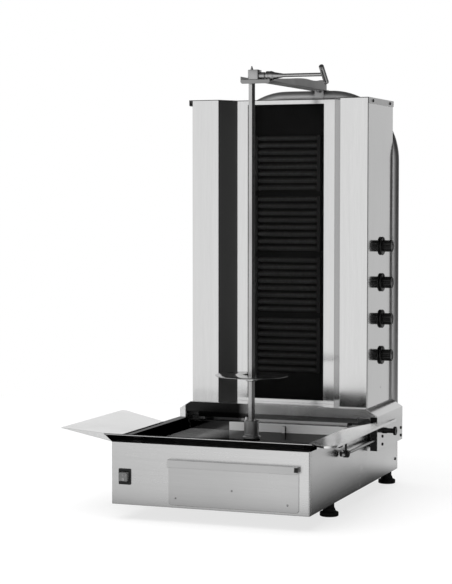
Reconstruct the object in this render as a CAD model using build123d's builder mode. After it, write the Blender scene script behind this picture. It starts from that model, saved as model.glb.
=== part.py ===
"""Electric doner kebab grill, as an assembly of separate pieces.

Millimetres, +Z up. The grill is drawn on a bench: x = 0 is its middle plane,
y = 0 the front face of the base, z = 0 the worktop, and the cook stands at -Y.
Each finished piece is then moved so that the origin is the middle of the grill's
footprint box on the worktop.
"""

import os
from math import hypot

from build123d import *

os.makedirs("parts", exist_ok=True)

# Footprint: what moves the bench frame to the middle of the footprint box
origin_x, origin_y = 50.2, -396.6

# Base casing
base_width, base_depth = 510, 791
base_bottom, base_top = 38, 191
sheet = 1.5
base_half = base_width / 2
seam, seam_gap = 13, 0.3
deck_front = 442
deck_top = base_top + sheet

# Drip pan on top of the base
pan_floor, pan_lip, flare_top = 171, 201, 212
pan_floor_half, pan_top_half = 223, 232.5
pan_back = 441.5
flare_run = 20
flare_ear = 12
flare_foot_y = 2.2

# Spit
spit_y = 304
spit_square = 12
spit_turn = -24
spit_bottom, spit_top = 187.2, 1083
socket_bottom, socket_top = 172.5, 219
disc_radius, disc_top, disc_sheet = 94, 335, 2
pin_radius = 3

# Drawer
drawer_left, drawer_right = -103, 229
drawer_bottom, drawer_top = 44, 156
grip_drop, grip_reach = 18, 14
tray_left, tray_right, tray_depth = -90, 216, 218
tray_bottom, tray_top = 54, 132

# Carriage that carries the heater tower
portal_y, portal_half, portal_sheet = 500, 278, 2
portal_top, portal_shoulder, portal_bottom = 235.5, 216, 126
portal_top_half, portal_leg = 247, 19
portal_band_bottom = 209
carriage_back = 753
apron_bottom, apron_top, apron_half = 196, 216, 225

# Heater tower
tower_half, tower_front, tower_back, tower_top = 246.3, 512.6, 753.8, 1048
facet_outer, facet_inner, window_half = 170.8, 137.5, 107.5
window_y, window_bottom, window_top = 570.5, 244, 1037
lid_left, lid_right, lid_lip = -254.3, 248.1, 16
panel_return, panel_corner = 8, 2.5
knob_y, knob_heights = 645, (658.5, 561, 463, 365.5)
zone_tops = (947, 784, 619.5, 456)
bars_per_zone, bar_pitch, bar_radius, bar_half = 8, 19, 6, 85
heater_y = 590

# Mast and top arm
mast_y, mast_half, mast_radius, mast_wall, mast_bend = 774, 241.5, 17, 2, 177
mast_axis_top = 1066.5
arm_bottom = mast_axis_top + mast_radius + 0.3
arm_sheet = 2
arm_front_y, arm_back_y, arm_web_x, arm_web_back_y = 288, 800, 50, 777
arm_head_left, arm_head_right, arm_head_back_y = -25, 37, 380
arm_lip_right, arm_lip_drop = 53, 8
clamp_axis_z = 1095.5

# Switch, cable gland and base screws
switch_x, switch_z = -219.5, 107
gland_x, gland_z = -180, 84
base_screw = (764, 68)

# Strap that holds the arm to the mast
strap_left, strap_right = 22, 48
strap_inner, strap_outer = mast_radius + 0.3, mast_radius + 2.3
arm_bolt_places = [((strap_left + strap_right) / 2, mast_y + end * (strap_outer + 6)) for end in (-1, 1)]

# Side fittings and feet
rod_x, rod_z, rod_radius = 269.5, 154, 4
clamp_y, clamp_z = 572, 172
pad_screws_y, pad_screws_z, screw_head = (552, 738), (138, 159), 2.4
lid_screws_y, lid_screws_z = (553, 719), 1041.5
foot_x, foot_ys, foot_radius = 232, (229, 762), 23.5
stud_radius = 5


def write(piece, name, turn=0):
    """Turn a finished piece about the spit, move it to the part's own frame, label and write it."""
    turned = piece.part.rotate(Axis((0, spit_y, 0), (0, 0, 1)), turn)
    placed = turned.moved(Location((origin_x, origin_y, 0)))
    placed.label = name
    export_step(placed, f"parts/{name}.step")
    print(f"{name:20s} {len(placed.solids())} solid(s) {placed.volume / 1000:9.1f} cm3")


def box(x_low, x_high, y_low, y_high, z_low, z_high, mode=Mode.ADD):
    """A block between six bench coordinates, added to or cut from the piece being built."""
    middle = ((x_low + x_high) / 2, (y_low + y_high) / 2, (z_low + z_high) / 2)
    with Locations(middle):
        Box(x_high - x_low, y_high - y_low, z_high - z_low, mode=mode)


def side_plane(x):
    """Upright plane at one x: its own x is the bench y, its own y is the bench z."""
    return Plane.YZ.offset(x)


def front_plane(y):
    """Upright plane at one y, facing the cook: its own x is the bench x, its own y the bench z."""
    return Plane.XZ.offset(-y)


def casing(y_low, y_high):
    """The casing's walls and bottom flange between two depths."""
    with BuildPart() as ring:
        with BuildSketch(Plane.XY.offset(base_bottom)):
            with Locations((0, base_depth / 2)):
                RectangleRounded(base_width, base_depth, 3)
                RectangleRounded(base_width - 2 * sheet, base_depth - 2 * sheet, 3 - sheet, mode=Mode.SUBTRACT)
        extrude(amount=base_top - base_bottom)
        with BuildSketch(Plane.XY.offset(base_bottom)):
            with Locations((0, base_depth / 2)):
                RectangleRounded(base_width - sheet, base_depth - sheet, 2)
                Rectangle(base_width - 30, base_depth - 30, mode=Mode.SUBTRACT)
        extrude(amount=sheet)
        box(-base_half - 1, base_half + 1, y_low, y_high, base_bottom - 1, base_top + 1, mode=Mode.INTERSECT)
    return ring.part


# Base casing: a front folded round both corners, two sides, and a back with the vents
front_walls = casing(-1, seam)
with BuildPart() as base_front:
    add(front_walls)
    # Openings for the drawer and the switch
    box(tray_left - 2, tray_right + 2, -3, 3, tray_bottom - 2, tray_top + 2, mode=Mode.SUBTRACT)
    box(switch_x - 13.5, switch_x + 13.5, -3, 3, switch_z - 15.5, switch_z + 15.5, mode=Mode.SUBTRACT)
write(base_front, "base_front")

side_walls = casing(seam + seam_gap, base_depth - seam - seam_gap)
with BuildPart() as base_sides:
    add(side_walls)
    # Breathing slots and screw holes
    with BuildSketch(side_plane(0)):
        with Locations((362, 173), (375, 173), (388, 173)):
            SlotOverall(12, 3, rotation=90)
        with Locations(base_screw):
            Circle(2.1)
    extrude(amount=base_half + 5, both=True, mode=Mode.SUBTRACT)
write(base_sides, "base_sides")

back_walls = casing(base_depth - seam, base_depth + 1)
with BuildPart() as base_back:
    add(back_walls)
    # Cable hole and vent slots
    with BuildSketch(front_plane(base_depth)):
        with Locations((gland_x, gland_z)):
            Circle(10.2)
        with GridLocations(22, 26, 8, 3):
            with Locations((70, 114)):
                SlotOverall(20, 4, rotation=90)
    extrude(amount=3, both=True, mode=Mode.SUBTRACT)
write(base_back, "base_back")

# Base floor, resting on the casing's bottom flange
floor_bottom = base_bottom + sheet
floor_top = floor_bottom + 2
with BuildPart() as base_floor:
    box(-base_half + 2.5, base_half - 2.5, 2.5, base_depth - 2.5, floor_bottom, floor_top)
    with BuildSketch(Plane.XY.offset(floor_bottom)):
        with Locations(*[(side * foot_x, y) for side in (-1, 1) for y in foot_ys]):
            Circle(stud_radius + 0.3)
        with Locations((-100, 620), (0, 620), (100, 620)):
            SlotOverall(70, 8)
    extrude(amount=2, mode=Mode.SUBTRACT)
write(base_floor, "base_floor")

# Deck: the rear top of the base, on which the carriage slides
with BuildPart() as base_deck:
    with BuildSketch(Plane.XY.offset(base_top)):
        with Locations((0, (deck_front + base_depth) / 2)):
            Rectangle(base_width, base_depth - deck_front)
        with Locations((0, 640)):
            Circle(22, mode=Mode.SUBTRACT)
    extrude(amount=sheet)
write(base_deck, "base_deck")

# Drip pan: pressed bowl with side lips, rear flange and a front that flares over the base
flare_slope = flare_run / (flare_top - base_top)


def front_wall_y(z):
    """Where the pan's outer front wall stands at one height."""
    return flare_foot_y - (z - base_top) * flare_slope


def bowl(inset, z_low, z_high, back, mode):
    """The bowl's outer form, or its hollow with an inset of one sheet."""
    front_inset = inset * hypot(1, flare_slope)
    lean = (pan_top_half - pan_floor_half) / (pan_lip - pan_floor + sheet)
    sections = []
    for z in (z_low, z_high):
        half = pan_floor_half + (z - pan_floor + sheet) * lean - inset
        front = front_wall_y(z) + front_inset
        with BuildSketch(Plane.XY.offset(z)) as section:
            with Locations((0, (front + back) / 2)):
                Rectangle(2 * half, back - front)
        sections.append(section.sketch)
    loft(sections=sections, mode=mode)


flare_up = Vector(0, -flare_run, flare_top - base_top).normalized()
flare_plane = Plane(origin=(0, flare_foot_y, base_top), x_dir=(1, 0, 0), z_dir=(0, flare_up.Z, -flare_up.Y))
flare_length = hypot(flare_run, flare_top - base_top)

with BuildPart() as drip_pan:
    bowl(0, pan_floor - sheet, pan_lip, pan_back, Mode.ADD)
    for side in (-1, 1):
        edge = side * base_half
        inner = side * (pan_top_half - 1)
        box(min(inner, edge), max(inner, edge), 0.5, pan_back, pan_lip - sheet, pan_lip)
        box(min(edge, edge - side * sheet), max(edge, edge - side * sheet), 0.5, pan_back, base_top, pan_lip)
    box(-pan_top_half + 3, pan_top_half - 3, pan_back - sheet, pan_back + 15, deck_top, deck_top + sheet)
    with BuildSketch(flare_plane):
        with BuildLine():
            Polyline((-base_half, 0), (base_half, 0), (base_half + flare_ear, -flare_length),
                     (-base_half - flare_ear, -flare_length), close=True)
        make_face()
    extrude(amount=sheet)
    # Rolled bead along the front rim
    with BuildSketch(side_plane(0)):
        with Locations((front_wall_y(flare_top) + 1, flare_top - 0.5)):
            Circle(2)
    extrude(amount=base_half + flare_ear, both=True)
    bowl(sheet, pan_floor, pan_lip + 1, pan_back - sheet, Mode.SUBTRACT)
    box(-pan_top_half + 3.5, pan_top_half - 3.5, pan_back - 2, pan_back + 16, deck_top + sheet, pan_lip + 2,
        mode=Mode.SUBTRACT)
    # Hole for the drive shaft and drain hole over the drawer
    with BuildSketch(Plane.XY.offset(pan_floor - 3)):
        with Locations((0, spit_y)):
            Circle(14)
        with Locations((100, 130)):
            Circle(12)
    extrude(amount=6, mode=Mode.SUBTRACT)
    # Stop stud welded to the rear wall
    with BuildSketch(Plane.XY.offset(pan_floor)):
        with Locations((42, pan_back - sheet - 4)):
            Rectangle(9, 8)
    extrude(amount=18)
write(drip_pan, "drip_pan")

# Guide wings: loose sheets that hook over the pan's side lips and catch the cut meat
wing_inner = 250
wing_rest = pan_lip + 0.3
left_rise = 0.068
hook_x = base_half + 1.2


def wing_plane(side, slope, inner):
    """Plane of a wing from its inner edge: its own x runs outwards and a little up, its own y along the bench."""
    length = hypot(1, slope)
    outwards = (side / length, 0, slope / length)
    up = (-side * slope / length, 0, 1 / length)
    return Plane(origin=(side * inner, 0, wing_rest), x_dir=outwards, z_dir=up)


left_front_y, left_back_y, left_back_inner_y = 37, 428, 316
left_reach = 162
with BuildPart() as left_wing:
    with BuildSketch(wing_plane(-1, left_rise, wing_inner)):
        with BuildLine():
            Polyline((0, -left_front_y), (left_reach, -left_front_y), (left_reach + 2, -left_back_y),
                     (0, -left_back_inner_y), close=True)
        make_face()
        fillet(vertices().sort_by(Axis.X)[-2:], radius=6)
    extrude(amount=sheet)
    # Hook outside the pan's skirt and gusset under the front edge
    box(-hook_x - sheet, -hook_x, left_front_y, left_back_inner_y, 190, wing_rest + 0.8)
    with BuildSketch(front_plane(left_front_y)):
        with BuildLine():
            Polyline((-hook_x, wing_rest + 0.5), (-hook_x, 184), (-hook_x - 6, 184),
                     (-wing_inner - left_reach + 10, wing_rest + left_rise * (left_reach - 10)), close=True)
        make_face()
    extrude(amount=-sheet)
write(left_wing, "left_wing")

right_inner, right_outer, right_rise = 234, 313, 0.045
right_front_y, right_tip_y, hem_drop = 15, 560, 4.5
with BuildPart() as right_wing:
    right_plane = wing_plane(1, right_rise, right_inner)
    reach = right_outer - right_inner
    outline = [(0, right_front_y + 51), (51, right_front_y), (reach, right_front_y), (reach, right_tip_y),
               (reach - 5, right_tip_y), (0, 330)]
    with BuildSketch(right_plane):
        with BuildLine():
            Polyline(*outline, close=True)
        make_face()
        fillet(vertices().group_by(Axis.Y)[0].sort_by(Axis.X)[-1], radius=24)
        with Locations((65, 472), (72, 508)):
            Circle(3, mode=Mode.SUBTRACT)
    extrude(amount=sheet)
    # Down-turned hem along the front and outer edges
    with BuildSketch(right_plane):
        with BuildLine():
            Polyline(*outline, close=True)
        make_face()
        fillet(vertices().group_by(Axis.Y)[0].sort_by(Axis.X)[-1], radius=24)
        offset(amount=-1.4, kind=Kind.INTERSECTION, mode=Mode.SUBTRACT)
        with BuildLine():
            Polyline((-5, right_front_y - 5), (23, right_front_y - 5), (23, right_front_y + 43),
                     (reach - 2, right_tip_y - 20), (reach - 2, right_tip_y + 5), (-5, right_tip_y + 5), close=True)
        make_face(mode=Mode.SUBTRACT)
    extrude(amount=-hem_drop)
    box(hook_x, hook_x + sheet, 50, 318, 190, wing_rest + 1.5)
write(right_wing, "right_wing")

# Grease drawer: tray, overlapping front with a folded grip, and its runners
with BuildPart() as drawer_tray:
    box(tray_left, tray_right, -0.3, tray_depth, tray_bottom, tray_top)
    wall = 1.2
    box(tray_left + wall, tray_right - wall, wall, tray_depth - wall, tray_bottom + wall, tray_top + 1,
        mode=Mode.SUBTRACT)
write(drawer_tray, "drawer_tray")

with BuildPart() as drawer_front:
    with BuildSketch(front_plane(-0.3)):
        with BuildLine():
            Polyline((drawer_left, drawer_bottom), (drawer_right, drawer_bottom),
                     (drawer_right, drawer_top), (drawer_left, drawer_top), close=True)
        make_face()
        fillet(vertices().group_by(Axis.Y)[0], radius=8)
    extrude(amount=sheet)
    with BuildSketch(side_plane(drawer_left)):
        with BuildLine():
            Polyline((-1, drawer_top - sheet), (-1, drawer_top), (-grip_reach + 2, drawer_top),
                     (-grip_reach - 1.8, drawer_top - grip_drop), (-grip_reach - 0.3, drawer_top - grip_drop),
                     (-grip_reach + 3.2, drawer_top - sheet), close=True)
        make_face()
    extrude(amount=drawer_right - drawer_left)
write(drawer_front, "drawer_front")

with BuildPart() as drawer_runners:
    for side, x in ((-1, tray_left), (1, tray_right)):
        outer = x + side * 3.5
        stem = x + side * 2
        shelf = x - side * 6
        box(min(outer, stem), max(outer, stem), 6, tray_depth + 6, floor_top, tray_bottom + 12)
        box(min(outer, shelf), max(outer, shelf), 6, tray_depth + 6, tray_bottom - 2, tray_bottom - 0.3)
write(drawer_runners, "drawer_runners")

# Drive: motor, gearbox, bracket, bearing and shaft under the pan
bracket_top = 154
with BuildPart() as motor_bracket:
    box(-80, 80, spit_y - 50, spit_y + 50, bracket_top - 2, bracket_top)
    for side in (-1, 1):
        box(min(side * 78, side * 80), max(side * 78, side * 80), spit_y - 50, spit_y + 50, floor_top, bracket_top)
        box(min(side * 79, side * 100), max(side * 79, side * 100), spit_y - 50, spit_y + 50,
            floor_top, floor_top + 2)
    with BuildSketch(Plane.XY.offset(bracket_top - 3)):
        with Locations((0, spit_y)):
            Circle(14)
    extrude(amount=6, mode=Mode.SUBTRACT)
write(motor_bracket, "motor_bracket")

gearbox_bottom = 118
with BuildPart() as gearbox:
    box(-33, 77, spit_y - 34, spit_y + 46, gearbox_bottom, bracket_top - 2)
    fillet(gearbox.edges().filter_by(Axis.Z), radius=8)
    with BuildSketch(Plane.XY.offset(bracket_top - 2)):
        with Locations((0, spit_y)):
            Circle(10.06)
    extrude(amount=-30, mode=Mode.SUBTRACT)
write(gearbox, "gearbox")

with BuildPart() as gear_motor:
    with BuildSketch(Plane.XY.offset(gearbox_bottom)):
        with Locations((38, spit_y + 6)):
            Circle(32)
    extrude(amount=-58)
    chamfer(gear_motor.edges().sort_by(Axis.Z)[0], length=4)
    with BuildSketch(Plane.XY.offset(gearbox_bottom - 58)):
        with Locations((38, spit_y + 6)):
            Circle(12)
    extrude(amount=-6)
write(gear_motor, "gear_motor")

with BuildPart() as shaft_bearing:
    with BuildSketch(Plane.XY.offset(bracket_top)):
        with Locations((0, spit_y)):
            Circle(32)
    extrude(amount=5)
    with BuildSketch(Plane.XY.offset(bracket_top + 5)):
        with Locations((0, spit_y)):
            Circle(20)
    extrude(amount=10)
    with BuildSketch(Plane.XY.offset(bracket_top - 1)):
        with Locations((0, spit_y)):
            Circle(10.06)
    extrude(amount=20, mode=Mode.SUBTRACT)
write(shaft_bearing, "shaft_bearing")

shaft_spigot_top = 185
socket_pin_at = (-11.4, spit_y - 7.3)
with BuildPart() as drive_shaft:
    with BuildSketch(Plane.XY.offset(gearbox_bottom + 5)):
        with Locations((0, spit_y)):
            Circle(10)
    extrude(amount=socket_bottom - gearbox_bottom - 5)
    with BuildSketch(Plane.XY.offset(socket_bottom)):
        with Locations((0, spit_y)):
            Circle(7.95)
    extrude(amount=shaft_spigot_top - socket_bottom)
write(drive_shaft, "drive_shaft", spit_turn)

# Socket with its locating pin, spit and meat disc
with BuildPart() as spit_socket:
    with BuildSketch(Plane.XY.offset(socket_bottom)):
        with Locations((0, spit_y)):
            Circle(23)
    extrude(amount=6)
    with BuildSketch(Plane.XY.offset(socket_bottom + 6)):
        with Locations((0, spit_y)):
            Circle(18.9)
    extrude(amount=socket_top - socket_bottom - 6)
    chamfer(spit_socket.faces().sort_by(Axis.Z)[-1].edges(), length=1.5)
    with BuildSketch(Plane.XY.offset(socket_bottom)):
        with Locations((0, spit_y)):
            Circle(8)
    extrude(amount=shaft_spigot_top - socket_bottom + 0.5, mode=Mode.SUBTRACT)
    with BuildSketch(Plane.XY.offset(spit_bottom - 0.2)):
        with Locations((0, spit_y)):
            Rectangle(spit_square + 0.4, spit_square + 0.4)
    extrude(amount=40, mode=Mode.SUBTRACT)
    # Locating pin in the socket's rim
    with BuildSketch(Plane.XY.offset(socket_top - 8)):
        with Locations(socket_pin_at):
            Circle(3)
    extrude(amount=16)
    fillet(spit_socket.faces().sort_by(Axis.Z)[-1].edges(), radius=1)
write(spit_socket, "spit_socket", spit_turn)

with BuildPart() as spit_rod:
    with BuildSketch(Plane.XY.offset(spit_bottom)):
        with Locations((0, spit_y)):
            Rectangle(spit_square, spit_square)
    extrude(amount=spit_top - spit_bottom)
    fillet(spit_rod.edges().filter_by(Axis.Z), radius=0.8)
    chamfer(spit_rod.faces().sort_by(Axis.Z)[-1].edges(), length=0.6)
    with BuildSketch(Plane.XY.offset(spit_top)):
        with Locations((0, spit_y)):
            Circle(pin_radius + 0.1)
    extrude(amount=-16, mode=Mode.SUBTRACT)
write(spit_rod, "spit_rod", spit_turn)

hub_height = 13
with BuildPart() as meat_disc:
    with BuildSketch(Plane.XY.offset(disc_top)):
        with Locations((0, spit_y)):
            Circle(disc_radius)
    extrude(amount=-disc_sheet)
    with BuildSketch(Plane.XY.offset(disc_top - disc_sheet)):
        with Locations((0, spit_y)):
            Circle(15)
    extrude(amount=-hub_height)
    with BuildSketch(Plane.XY.offset(disc_top)):
        with Locations((0, spit_y)):
            Rectangle(spit_square + 0.6, spit_square + 0.6)
    extrude(amount=-30, mode=Mode.SUBTRACT)
    with BuildSketch(side_plane(-20)):
        with Locations((spit_y, disc_top - disc_sheet - hub_height / 2)):
            Circle(2.6)
    extrude(amount=14, mode=Mode.SUBTRACT)
write(meat_disc, "meat_disc", spit_turn)

with BuildPart() as disc_screw:
    with BuildSketch(side_plane(-27)):
        with Locations((spit_y, disc_top - disc_sheet - hub_height / 2)):
            Circle(2.5)
    extrude(amount=20)
    with BuildSketch(side_plane(-27)):
        with Locations((spit_y, disc_top - disc_sheet - hub_height / 2)):
            Rectangle(11, 4)
            Circle(4.2)
    extrude(amount=10)
write(disc_screw, "disc_screw", spit_turn)

# Switch: housing with its bezel, and the rocker
with BuildPart() as switch_housing:
    box(switch_x - 16, switch_x + 16, -3, 0, switch_z - 19.5, switch_z + 19.5)
    fillet(switch_housing.edges().filter_by(Axis.Y), radius=2)
    chamfer(switch_housing.faces().sort_by(Axis.Y)[0].edges(), length=0.8)
    box(switch_x - 13, switch_x + 13, -1, 25, switch_z - 15, switch_z + 15)
    box(switch_x - 11, switch_x + 11, -4, 20, switch_z - 13, switch_z + 13, mode=Mode.SUBTRACT)
write(switch_housing, "switch_housing")

rocker_pivot_y, rocker_reach = 4, 14
with BuildPart() as switch_rocker:
    with BuildSketch(side_plane(switch_x - 10.7)):
        with Locations((rocker_pivot_y, switch_z)):
            Circle(12.7)
        with BuildLine():
            Polyline((2, switch_z + 10.4), (-rocker_reach, switch_z + 10.4), (1.6 - rocker_reach, switch_z),
                     (1 - rocker_reach, switch_z - 10.4), (2, switch_z - 10.4), close=True)
        make_face()
        fillet(vertices().sort_by(Axis.X)[0], radius=1.5)
    extrude(amount=21.4)
write(switch_rocker, "switch_rocker")

# Electrical fittings at the back of the base
with BuildPart() as terminal_block:
    box(-215, -145, 712, 742, floor_top, floor_top + 12)
    for index in range(5):
        x = -208 + index * 14
        box(x - 5, x + 5, 716, 738, floor_top + 11, floor_top + 20)
write(terminal_block, "terminal_block")

with BuildPart() as cable_gland:
    for start, length, radius in ((783, 6, 13), (788, 4, 10), (791, 8, 14), (799, 13, 11.5)):
        with BuildSketch(front_plane(start)):
            with Locations((gland_x, gland_z)):
                if radius == 14:
                    RegularPolygon(radius, 6)
                else:
                    Circle(radius)
        extrude(amount=-length)
    fillet(cable_gland.faces().sort_by(Axis.Y)[-1].edges(), radius=3)
    with BuildSketch(front_plane(780)):
        with Locations((gland_x, gland_z)):
            Circle(5)
    extrude(amount=-40, mode=Mode.SUBTRACT)
write(cable_gland, "cable_gland")

with BuildPart() as base_screws:
    for side in (-1, 1):
        with BuildSketch(side_plane(side * (base_half - 8))):
            with Locations(base_screw):
                Circle(2)
        extrude(amount=side * 8)
        with BuildSketch(side_plane(side * base_half)):
            with Locations(base_screw):
                Circle(4)
        extrude(amount=side * 2.4)
    fillet(base_screws.edges().filter_by(GeomType.CIRCLE).group_by(Axis.X)[0], radius=1.4)
    fillet(base_screws.edges().filter_by(GeomType.CIRCLE).group_by(Axis.X)[-1], radius=1.4)
write(base_screws, "base_screws")

# Mast: a bent tube that stands behind the tower, with its two foot plates
with BuildPart() as mast:
    with BuildLine(front_plane(mast_y)):
        FilletPolyline((-mast_half, deck_top + 2), (-mast_half, mast_axis_top), (mast_half, mast_axis_top),
                       (mast_half, deck_top + 2), radius=mast_bend)
    with BuildSketch(Plane(origin=(-mast_half, mast_y, deck_top + 2), z_dir=(0, 0, 1))):
        Circle(mast_radius)
        Circle(mast_radius - mast_wall, mode=Mode.SUBTRACT)
    sweep()
    for side in (-1, 1):
        x = side * (mast_half - 12)
        box(x - 25, x + 25, mast_y - mast_radius, mast_y + mast_radius, deck_top, deck_top + 3)
write(mast, "mast")

# Top arm: a folded plate with one tall web, from the mast to the spit, and its strap round the mast
arm_top = arm_bottom + arm_sheet
arm_narrow_front, arm_narrow_back = (-2, arm_head_back_y + 26), (7, arm_back_y)
web_front_y = spit_y + 16
with BuildPart() as top_arm:
    with BuildSketch(Plane.XY.offset(arm_bottom)):
        with BuildLine():
            Polyline((arm_head_left, arm_front_y), (arm_head_right, arm_front_y),
                     (arm_head_right, web_front_y), (arm_web_x, web_front_y), (arm_web_x, arm_back_y),
                     arm_narrow_back, arm_narrow_front, (arm_head_left, arm_head_back_y), close=True)
        make_face()
        with Locations((0, spit_y)):
            Circle(5, mode=Mode.SUBTRACT)
        with Locations(*arm_bolt_places):
            Circle(3.2, mode=Mode.SUBTRACT)
    extrude(amount=arm_sheet)
    # Web, low at the front and rounded down at the mast
    with BuildSketch(side_plane(arm_web_x)):
        with BuildLine():
            Line((arm_web_back_y, 1098), (arm_web_back_y, arm_bottom))
            Line((arm_web_back_y, arm_bottom), (web_front_y, arm_bottom))
            Line((web_front_y, arm_bottom), (web_front_y, 1090))
            Spline((web_front_y, 1090), (450, 1097.5), (600, 1105.5), (700, 1107), (arm_web_back_y, 1098),
                   tangents=((1, 0.05), (0.4, -1)))
        make_face()
    extrude(amount=-arm_sheet)
    box(arm_head_left, arm_head_left + arm_sheet, arm_front_y, arm_head_back_y, arm_bottom, arm_bottom + 10)
    box(arm_head_left, arm_lip_right, arm_front_y, arm_front_y + arm_sheet, arm_bottom - arm_lip_drop, arm_top)
    chamfer(top_arm.edges().filter_by(Axis.Y).sort_by(Axis.Z)[:2], length=4)
write(top_arm, "top_arm")

with BuildPart() as arm_strap:
    strap_rise = arm_bottom - mast_axis_top
    with BuildSketch(side_plane(strap_left)):
        with Locations((mast_y, mast_axis_top)):
            Circle(strap_outer)
        with Locations((mast_y, arm_bottom - strap_rise / 2)):
            Rectangle(2 * strap_outer, strap_rise)
        with Locations((mast_y, arm_bottom - 1)):
            Rectangle(2 * strap_outer + 24, 2)
        with Locations((mast_y, mast_axis_top)):
            Circle(strap_inner, mode=Mode.SUBTRACT)
        with Locations((mast_y, arm_bottom - strap_rise / 2)):
            Rectangle(2 * strap_inner, strap_rise + 1, mode=Mode.SUBTRACT)
        with Locations((mast_y, arm_bottom + 5)):
            Rectangle(2 * strap_outer, 10, mode=Mode.SUBTRACT)
    extrude(amount=strap_right - strap_left)
    with BuildSketch(Plane.XY.offset(arm_bottom - 3)):
        with Locations(*arm_bolt_places):
            Circle(3.2)
    extrude(amount=4, mode=Mode.SUBTRACT)
write(arm_strap, "arm_strap")

with BuildPart() as arm_bolts:
    for bottom, height in ((arm_bottom - 6.5, 4.5), (arm_top, 5)):
        with BuildSketch(Plane.XY.offset(bottom)):
            with Locations(*arm_bolt_places):
                RegularPolygon(5.5, 6)
        extrude(amount=height)
    with BuildSketch(Plane.XY.offset(arm_bottom - 3)):
        with Locations(*arm_bolt_places):
            Circle(3)
    extrude(amount=6)
write(arm_bolts, "arm_bolts")

# Top bearing of the spit: block, centre pin, clamp screw and its tommy bar
block_bottom, block_top = arm_bottom + arm_sheet, 1111
boss_radius = clamp_axis_z - block_bottom - 0.1
with BuildPart() as bearing_block:
    box(-6.5, 22, spit_y - 14, spit_y + 14, block_bottom, block_top)
    fillet(bearing_block.edges().filter_by(Axis.Z), radius=2.5)
    chamfer(bearing_block.faces().sort_by(Axis.Z)[-1].edges(), length=1.5)
    with BuildSketch(side_plane(22)):
        with Locations((spit_y, clamp_axis_z)):
            Circle(boss_radius)
    extrude(amount=15)
    with BuildSketch(side_plane(40)):
        with Locations((spit_y, clamp_axis_z)):
            Circle(5)
    extrude(amount=-36, mode=Mode.SUBTRACT)
    with BuildSketch(Plane.XY.offset(block_bottom)):
        with Locations((0, spit_y)):
            Circle(pin_radius + 0.05)
    extrude(amount=40, mode=Mode.SUBTRACT)
write(bearing_block, "bearing_block")

pin_bottom, pin_head, pin_tip = spit_top - 12, block_top + 0.3, 1121
with BuildPart() as centre_pin:
    with BuildSketch(Plane.XZ.offset(-spit_y)):
        with BuildLine():
            Polyline((0, pin_bottom), (pin_radius - 1, pin_bottom), (pin_radius, pin_bottom + 1),
                     (pin_radius, pin_head), (4, pin_head), (4, pin_head + 1.5), (1, pin_tip),
                     (0, pin_tip), close=True)
        make_face()
    revolve(axis=Axis((0, spit_y, 0), (0, 0, 1)))
write(centre_pin, "centre_pin")

collar_start, collar_end, cone_end, bar_x, tommy_radius = 39, 60, 85, 191, 6.6
with BuildPart() as clamp_screw:
    with BuildSketch(Plane.XY.offset(clamp_axis_z)):
        with BuildLine():
            Polyline((6, spit_y), (6, spit_y + 4.95), (collar_start, spit_y + 4.95),
                     (collar_start, spit_y + 11.8), (collar_end - 6, spit_y + 11.8),
                     (collar_end, spit_y + 9), (cone_end, spit_y + 4.6), (bar_x, spit_y + 4.6),
                     (bar_x, spit_y), close=True)
        make_face()
    revolve(axis=Axis((0, spit_y, clamp_axis_z), (1, 0, 0)))
    with BuildSketch(Plane(origin=(bar_x, spit_y, clamp_axis_z), z_dir=(0, 0.755, -0.656))):
        Circle(tommy_radius + 0.05)
    extrude(amount=20, both=True, mode=Mode.SUBTRACT)
write(clamp_screw, "clamp_screw")

with BuildPart() as tommy_bar:
    with BuildSketch(Plane(origin=(bar_x, spit_y, clamp_axis_z), z_dir=(0, 0.755, -0.656))):
        Circle(tommy_radius)
    extrude(amount=30, both=True)
    fillet(tommy_bar.edges().filter_by(GeomType.CIRCLE), radius=2.5)
write(tommy_bar, "tommy_bar")

# Carriage: portal, runners, cheeks, apron and guide pads
with BuildPart() as carriage_portal:
    with BuildSketch(front_plane(portal_y)):
        with BuildLine():
            Polyline((-portal_half, portal_bottom), (-portal_half, portal_shoulder),
                     (-portal_top_half, portal_top), (portal_top_half, portal_top),
                     (portal_half, portal_shoulder), (portal_half, portal_bottom),
                     (portal_half - portal_leg, portal_bottom),
                     (portal_half - portal_leg, portal_band_bottom),
                     (-portal_half + portal_leg, portal_band_bottom),
                     (-portal_half + portal_leg, portal_bottom), close=True)
        make_face()
        with Locations((rod_x, rod_z)):
            Circle(rod_radius + 0.1, mode=Mode.SUBTRACT)
    extrude(amount=-portal_sheet)
    box(-portal_top_half, portal_top_half, portal_y, carriage_back, portal_top - portal_sheet, portal_top)
    with BuildSketch(Plane.XY.offset(portal_top - 3)):
        with Locations((0, 640)):
            Circle(22)
    extrude(amount=5, mode=Mode.SUBTRACT)
write(carriage_portal, "carriage_portal")

with BuildPart() as carriage_runners:
    for side in (-1, 1):
        x = side * 202
        box(x - 13, x + 13, 524, 744, deck_top + 0.3, portal_top - portal_sheet)
        box(x - 10.5, x + 10.5, 500, 760, deck_top + 2.8, portal_top - portal_sheet - 2.5, mode=Mode.SUBTRACT)
write(carriage_runners, "carriage_runners")

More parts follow.
